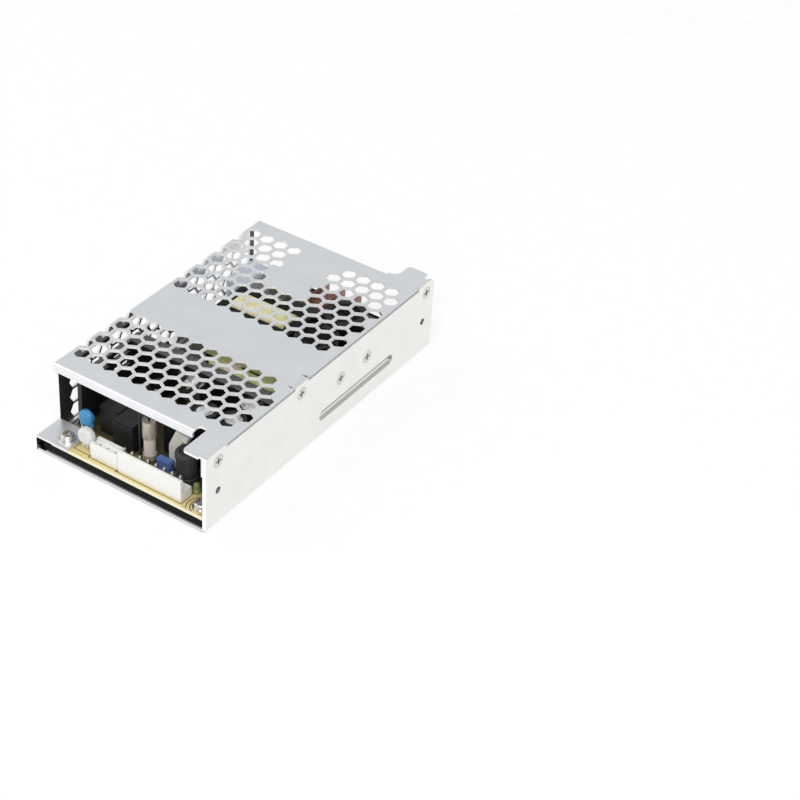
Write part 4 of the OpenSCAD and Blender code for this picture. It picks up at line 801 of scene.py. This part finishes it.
low, high = box_mm("adhesive_bead")
mid_y = (low.y + high.y) / 2
bm = bmesh.new()
bm.from_mesh(nodes["adhesive_bead"].data)
for k in range(LUMPS):
    share = k / (LUMPS - 1)
    lump = Vector((low.x + FOOT_X + LEAN * share ** LEAN_POWER + SWAY_X * math.sin(WAVE_X * k),
                   mid_y + SWAY_Y * math.sin(WAVE_Y * k), low.z + FOOT_Z + CLIMB * share))
    lump_r = LUMP_R + LUMP_SWELL * math.sin(WAVE_R * k + 1)
    bmesh.ops.create_icosphere(bm, subdivisions=LUMP_DETAIL, radius=lump_r * MM,
                               matrix=Matrix.Translation(lump * MM))
glue = new_piece("glue", bm, "white_glue")
print("glue skin:", melt(glue), "faces")
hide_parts("adhesive_bead")

# %% [markdown]
# ## Windings
# The line choke is wound with thick enamelled wire, one layer in each half of its former.
# A bump of stripes could fake it, but its outline would stay smooth.
# A helix of points round the former, swept by the tube helper, gives real turns with real gaps.

# %% Helper for tubes
def sweep(bm, path, radius, sides):
    """A round tube along points in millimetres."""
    points = [Vector(p) * MM for p in path]
    side, rings = None, []
    for i, point in enumerate(points):
        ahead = heading(points, i)
        side = ahead.orthogonal() if side is None else side - ahead * side.dot(ahead)
        side.normalize()
        up_side = ahead.cross(side)
        rings.append([bm.verts.new(point + (side * math.cos(a) + up_side * math.sin(a)) * radius * MM)
                      for a in round_angles(sides)])
    join_rings(bm, rings)


print("helper ready: sweep")

# %% Turns of the line choke
FORMER_R, FLANGE = 6.5, 1.2
WIRE_R, WIRE_SIDES, TURN_STEP, TURN_POINTS, END_GAP = 0.4, 8, 0.86, 40, 1.2
low, high = box_mm("line_choke")
axis_y, axis_z = (low.y + high.y) / 2, high.z - (high.y - low.y) / 2
half = (high.x - low.x) / 2
reach = FORMER_R + WIRE_R
enamel = finish("enamel", low=(0.36, 0.13, 0.09), high=(0.50, 0.21, 0.16), rough=(0.2, 0.32), grain_mm=0.6,
                Coat_Weight=0.5)
bm = bmesh.new()
for x0, x1 in ((low.x + FLANGE, low.x + half - FLANGE / 2), (low.x + half + FLANGE / 2, high.x - FLANGE)):
    turns = int((x1 - x0 - 2 * WIRE_R) / TURN_STEP)
    helix = []
    for k in range(turns * TURN_POINTS + 1):
        a = 2 * math.pi * k / TURN_POINTS
        helix.append((x0 + END_GAP * WIRE_R + k * TURN_STEP / TURN_POINTS,
                      axis_y + reach * math.sin(a), axis_z + reach * math.cos(a)))
    sweep(bm, helix, WIRE_R, WIRE_SIDES)
new_piece("line_choke_turns", bm, "red_winding", enamel)

# %% [markdown]
# ## Straps on the transformer
# Through the holes of the cover a row of olive spots shows, with pinkish ones among them.
# They are read here as olive tape round the transformer's core and a strip of cloth tape round its coil.
# Both run up the front, over the top and down the rear, the cloth one beneath the core.
# A plane with a Solidify modifier would do; here the strip is built at once, with a quarter circle at both upper edges.

# %% Transformer straps
BEND_STEPS = 6


def strap(name, across, front, rear, foot, top, bend, thick, material):
    """A strip, across[0] to across[1] wide, laid over a block from its front to its rear."""
    quarter = [math.pi / 2 * k / BEND_STEPS for k in range(BEND_STEPS + 1)]
    path = [(front, foot)]
    path += [(front + bend - bend * math.cos(a), top - bend + bend * math.sin(a)) for a in quarter]
    path += [(rear - bend + bend * math.sin(a), top - bend + bend * math.cos(a)) for a in quarter]
    path += [(rear, foot)]
    bm, rings = bmesh.new(), []
    for i, (y, z) in enumerate(path):
        (y0, z0), (y1, z1) = path[max(i - 1, 0)], path[min(i + 1, len(path) - 1)]
        out = Vector((0, z0 - z1, y1 - y0)).normalized() * thick
        near, far = (Vector((x, y, z)) for x in across)
        rings.append([bm.verts.new(v * MM) for v in (near - out, far - out, far + out, near + out)])
    join_rings(bm, rings)
    new_piece(name, bm, "yellow_tape", material, smooth=False)


CLOTH_X, CLOTH_FOOT, CLOTH_BEND, CLOTH_T = (6.5, 11.5), 1, 0.9, 0.16
cloth_tape = finish("cloth_tape", low=(0.84, 0.68, 0.61), high=(0.94, 0.80, 0.73), rough=(0.6, 0.75),
                    grain_mm=0.35, depth_mm=0.03)
low, high = box_mm("transformer_winding")
strap("coil_strap", CLOTH_X, low.y, high.y, low.z + CLOTH_FOOT, high.z, CLOTH_BEND, CLOTH_T, cloth_tape)

TAPE_X, TAPE_DROP, TAPE_BEND, TAPE_T = (-7.0, 28.0), 4.6, 0.3, 0.1
low, high = box_mm("transformer_core")
strap("core_tape", TAPE_X, low.y, high.y, high.z - TAPE_DROP, high.z, TAPE_BEND, TAPE_T, olive_tape)

# %% [markdown]
# ## Stripes on the sleeves
# An electrolytic capacitor marks its negative side by a pale stripe down the shrink sleeve.
# A mask on the angle round each can could paint it, but every can would need its own.
# Each stripe is a thin bowed patch that lies on the sleeve, left plain, without signs.

# %% Sleeve stripes
STRIPE_T, STRIPE_ARC, STRIPE_STEPS = 0.04, math.radians(42), 10
STRIPE_FOOT, STRIPE_HEAD = 1.0, 1.6
stripe_ink = finish("stripe_ink", low=(0.42, 0.43, 0.45), high=(0.52, 0.53, 0.55), rough=(0.3, 0.42), grain_mm=0.8)
turned_to = {"output_sleeve_1": 250, "output_sleeve_2": 180, "output_sleeve_3": 180, "output_sleeve_4": 200,
             "small_sleeve": 300, "bulk_sleeve_1": 250, "bulk_sleeve_2": 120}
bm = bmesh.new()
for name, turn in turned_to.items():
    (x, y), r = middle_of(name), radius_of(name)
    low, high = box_mm(name)
    foot, head = low.z + STRIPE_FOOT, high.z - STRIPE_HEAD
    section = ((r - STRIPE_T, foot), (r + STRIPE_T, foot), (r + STRIPE_T, head), (r - STRIPE_T, head))
    rings = []
    for k in range(STRIPE_STEPS + 1):
        a = math.radians(turn) + STRIPE_ARC * (k / STRIPE_STEPS - 0.5)
        rings.append([bm.verts.new(Vector((x + out * math.cos(a), y + out * math.sin(a), z)) * MM)
                      for out, z in section])
    join_rings(bm, rings)
new_piece("sleeve_stripes", bm, "black_sleeve", stripe_ink)

# %% [markdown]
# ## Threads
# The mounting holes in the wall and the base are drawn into collars and tapped.
# A real thread is cut into the metal; a thin helical ridge inside the hole shows the same and stays one simple tube.
# The holes read dark in the picture, so shade is painted into them: the ridges have a dark finish.

# %% Threads in the tapped holes
THREAD_R, THREAD_PITCH, THREAD_L, THREAD_POINTS = 1.46, 0.5, 2.8, 16
RIDGE_R, RIDGE_SIDES = 0.13, 6
SIDE_HOLES = [(71.2, 17.0), (-71.2, 17.0)]
BASE_HOLES = [(x, y) for x in (-25, 25) for y in (-60, 60)]
# Painted shade: the ridges are dark because the inside of a hole lies in shade
shaded_thread_steel = finish("shaded_thread_steel", low=(0.10, 0.10, 0.095), high=(0.17, 0.17, 0.165), rough=(0.35, 0.5),
                      grain_mm=0.4, Metallic=1.0)
last = int(THREAD_POINTS * (THREAD_L - 2 * RIDGE_R) / THREAD_PITCH)
coil = [(RIDGE_R + k / THREAD_POINTS * THREAD_PITCH, THREAD_R * math.cos(2 * math.pi * k / THREAD_POINTS),
         THREAD_R * math.sin(2 * math.pi * k / THREAD_POINTS)) for k in range(last + 1)]
bm = bmesh.new()
for y, z in SIDE_HOLES:
    sweep(bm, [(cad_high.x / MM - deep, y + c, z + s) for deep, c, s in coil], RIDGE_R, RIDGE_SIDES)
for x, y in BASE_HOLES:
    sweep(bm, [(x + c, y + s, deep) for deep, c, s in coil], RIDGE_R, RIDGE_SIDES)
new_piece("thread_ridges", bm, "clip_steel", shaded_thread_steel)

# %% [markdown]
# ## Sizes
# What was added must not make the supply larger than its CAD model, or it would no longer fit where it is built in.
# It could be checked by eye against the solids; instead two measured boxes are printed:
# that of the solids as they were loaded, and that of everything visible now.

# %% Print the box of everything visible
low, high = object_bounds()
print("visible size, mm:", [round(x, 1) for x in (high - low) / MM])
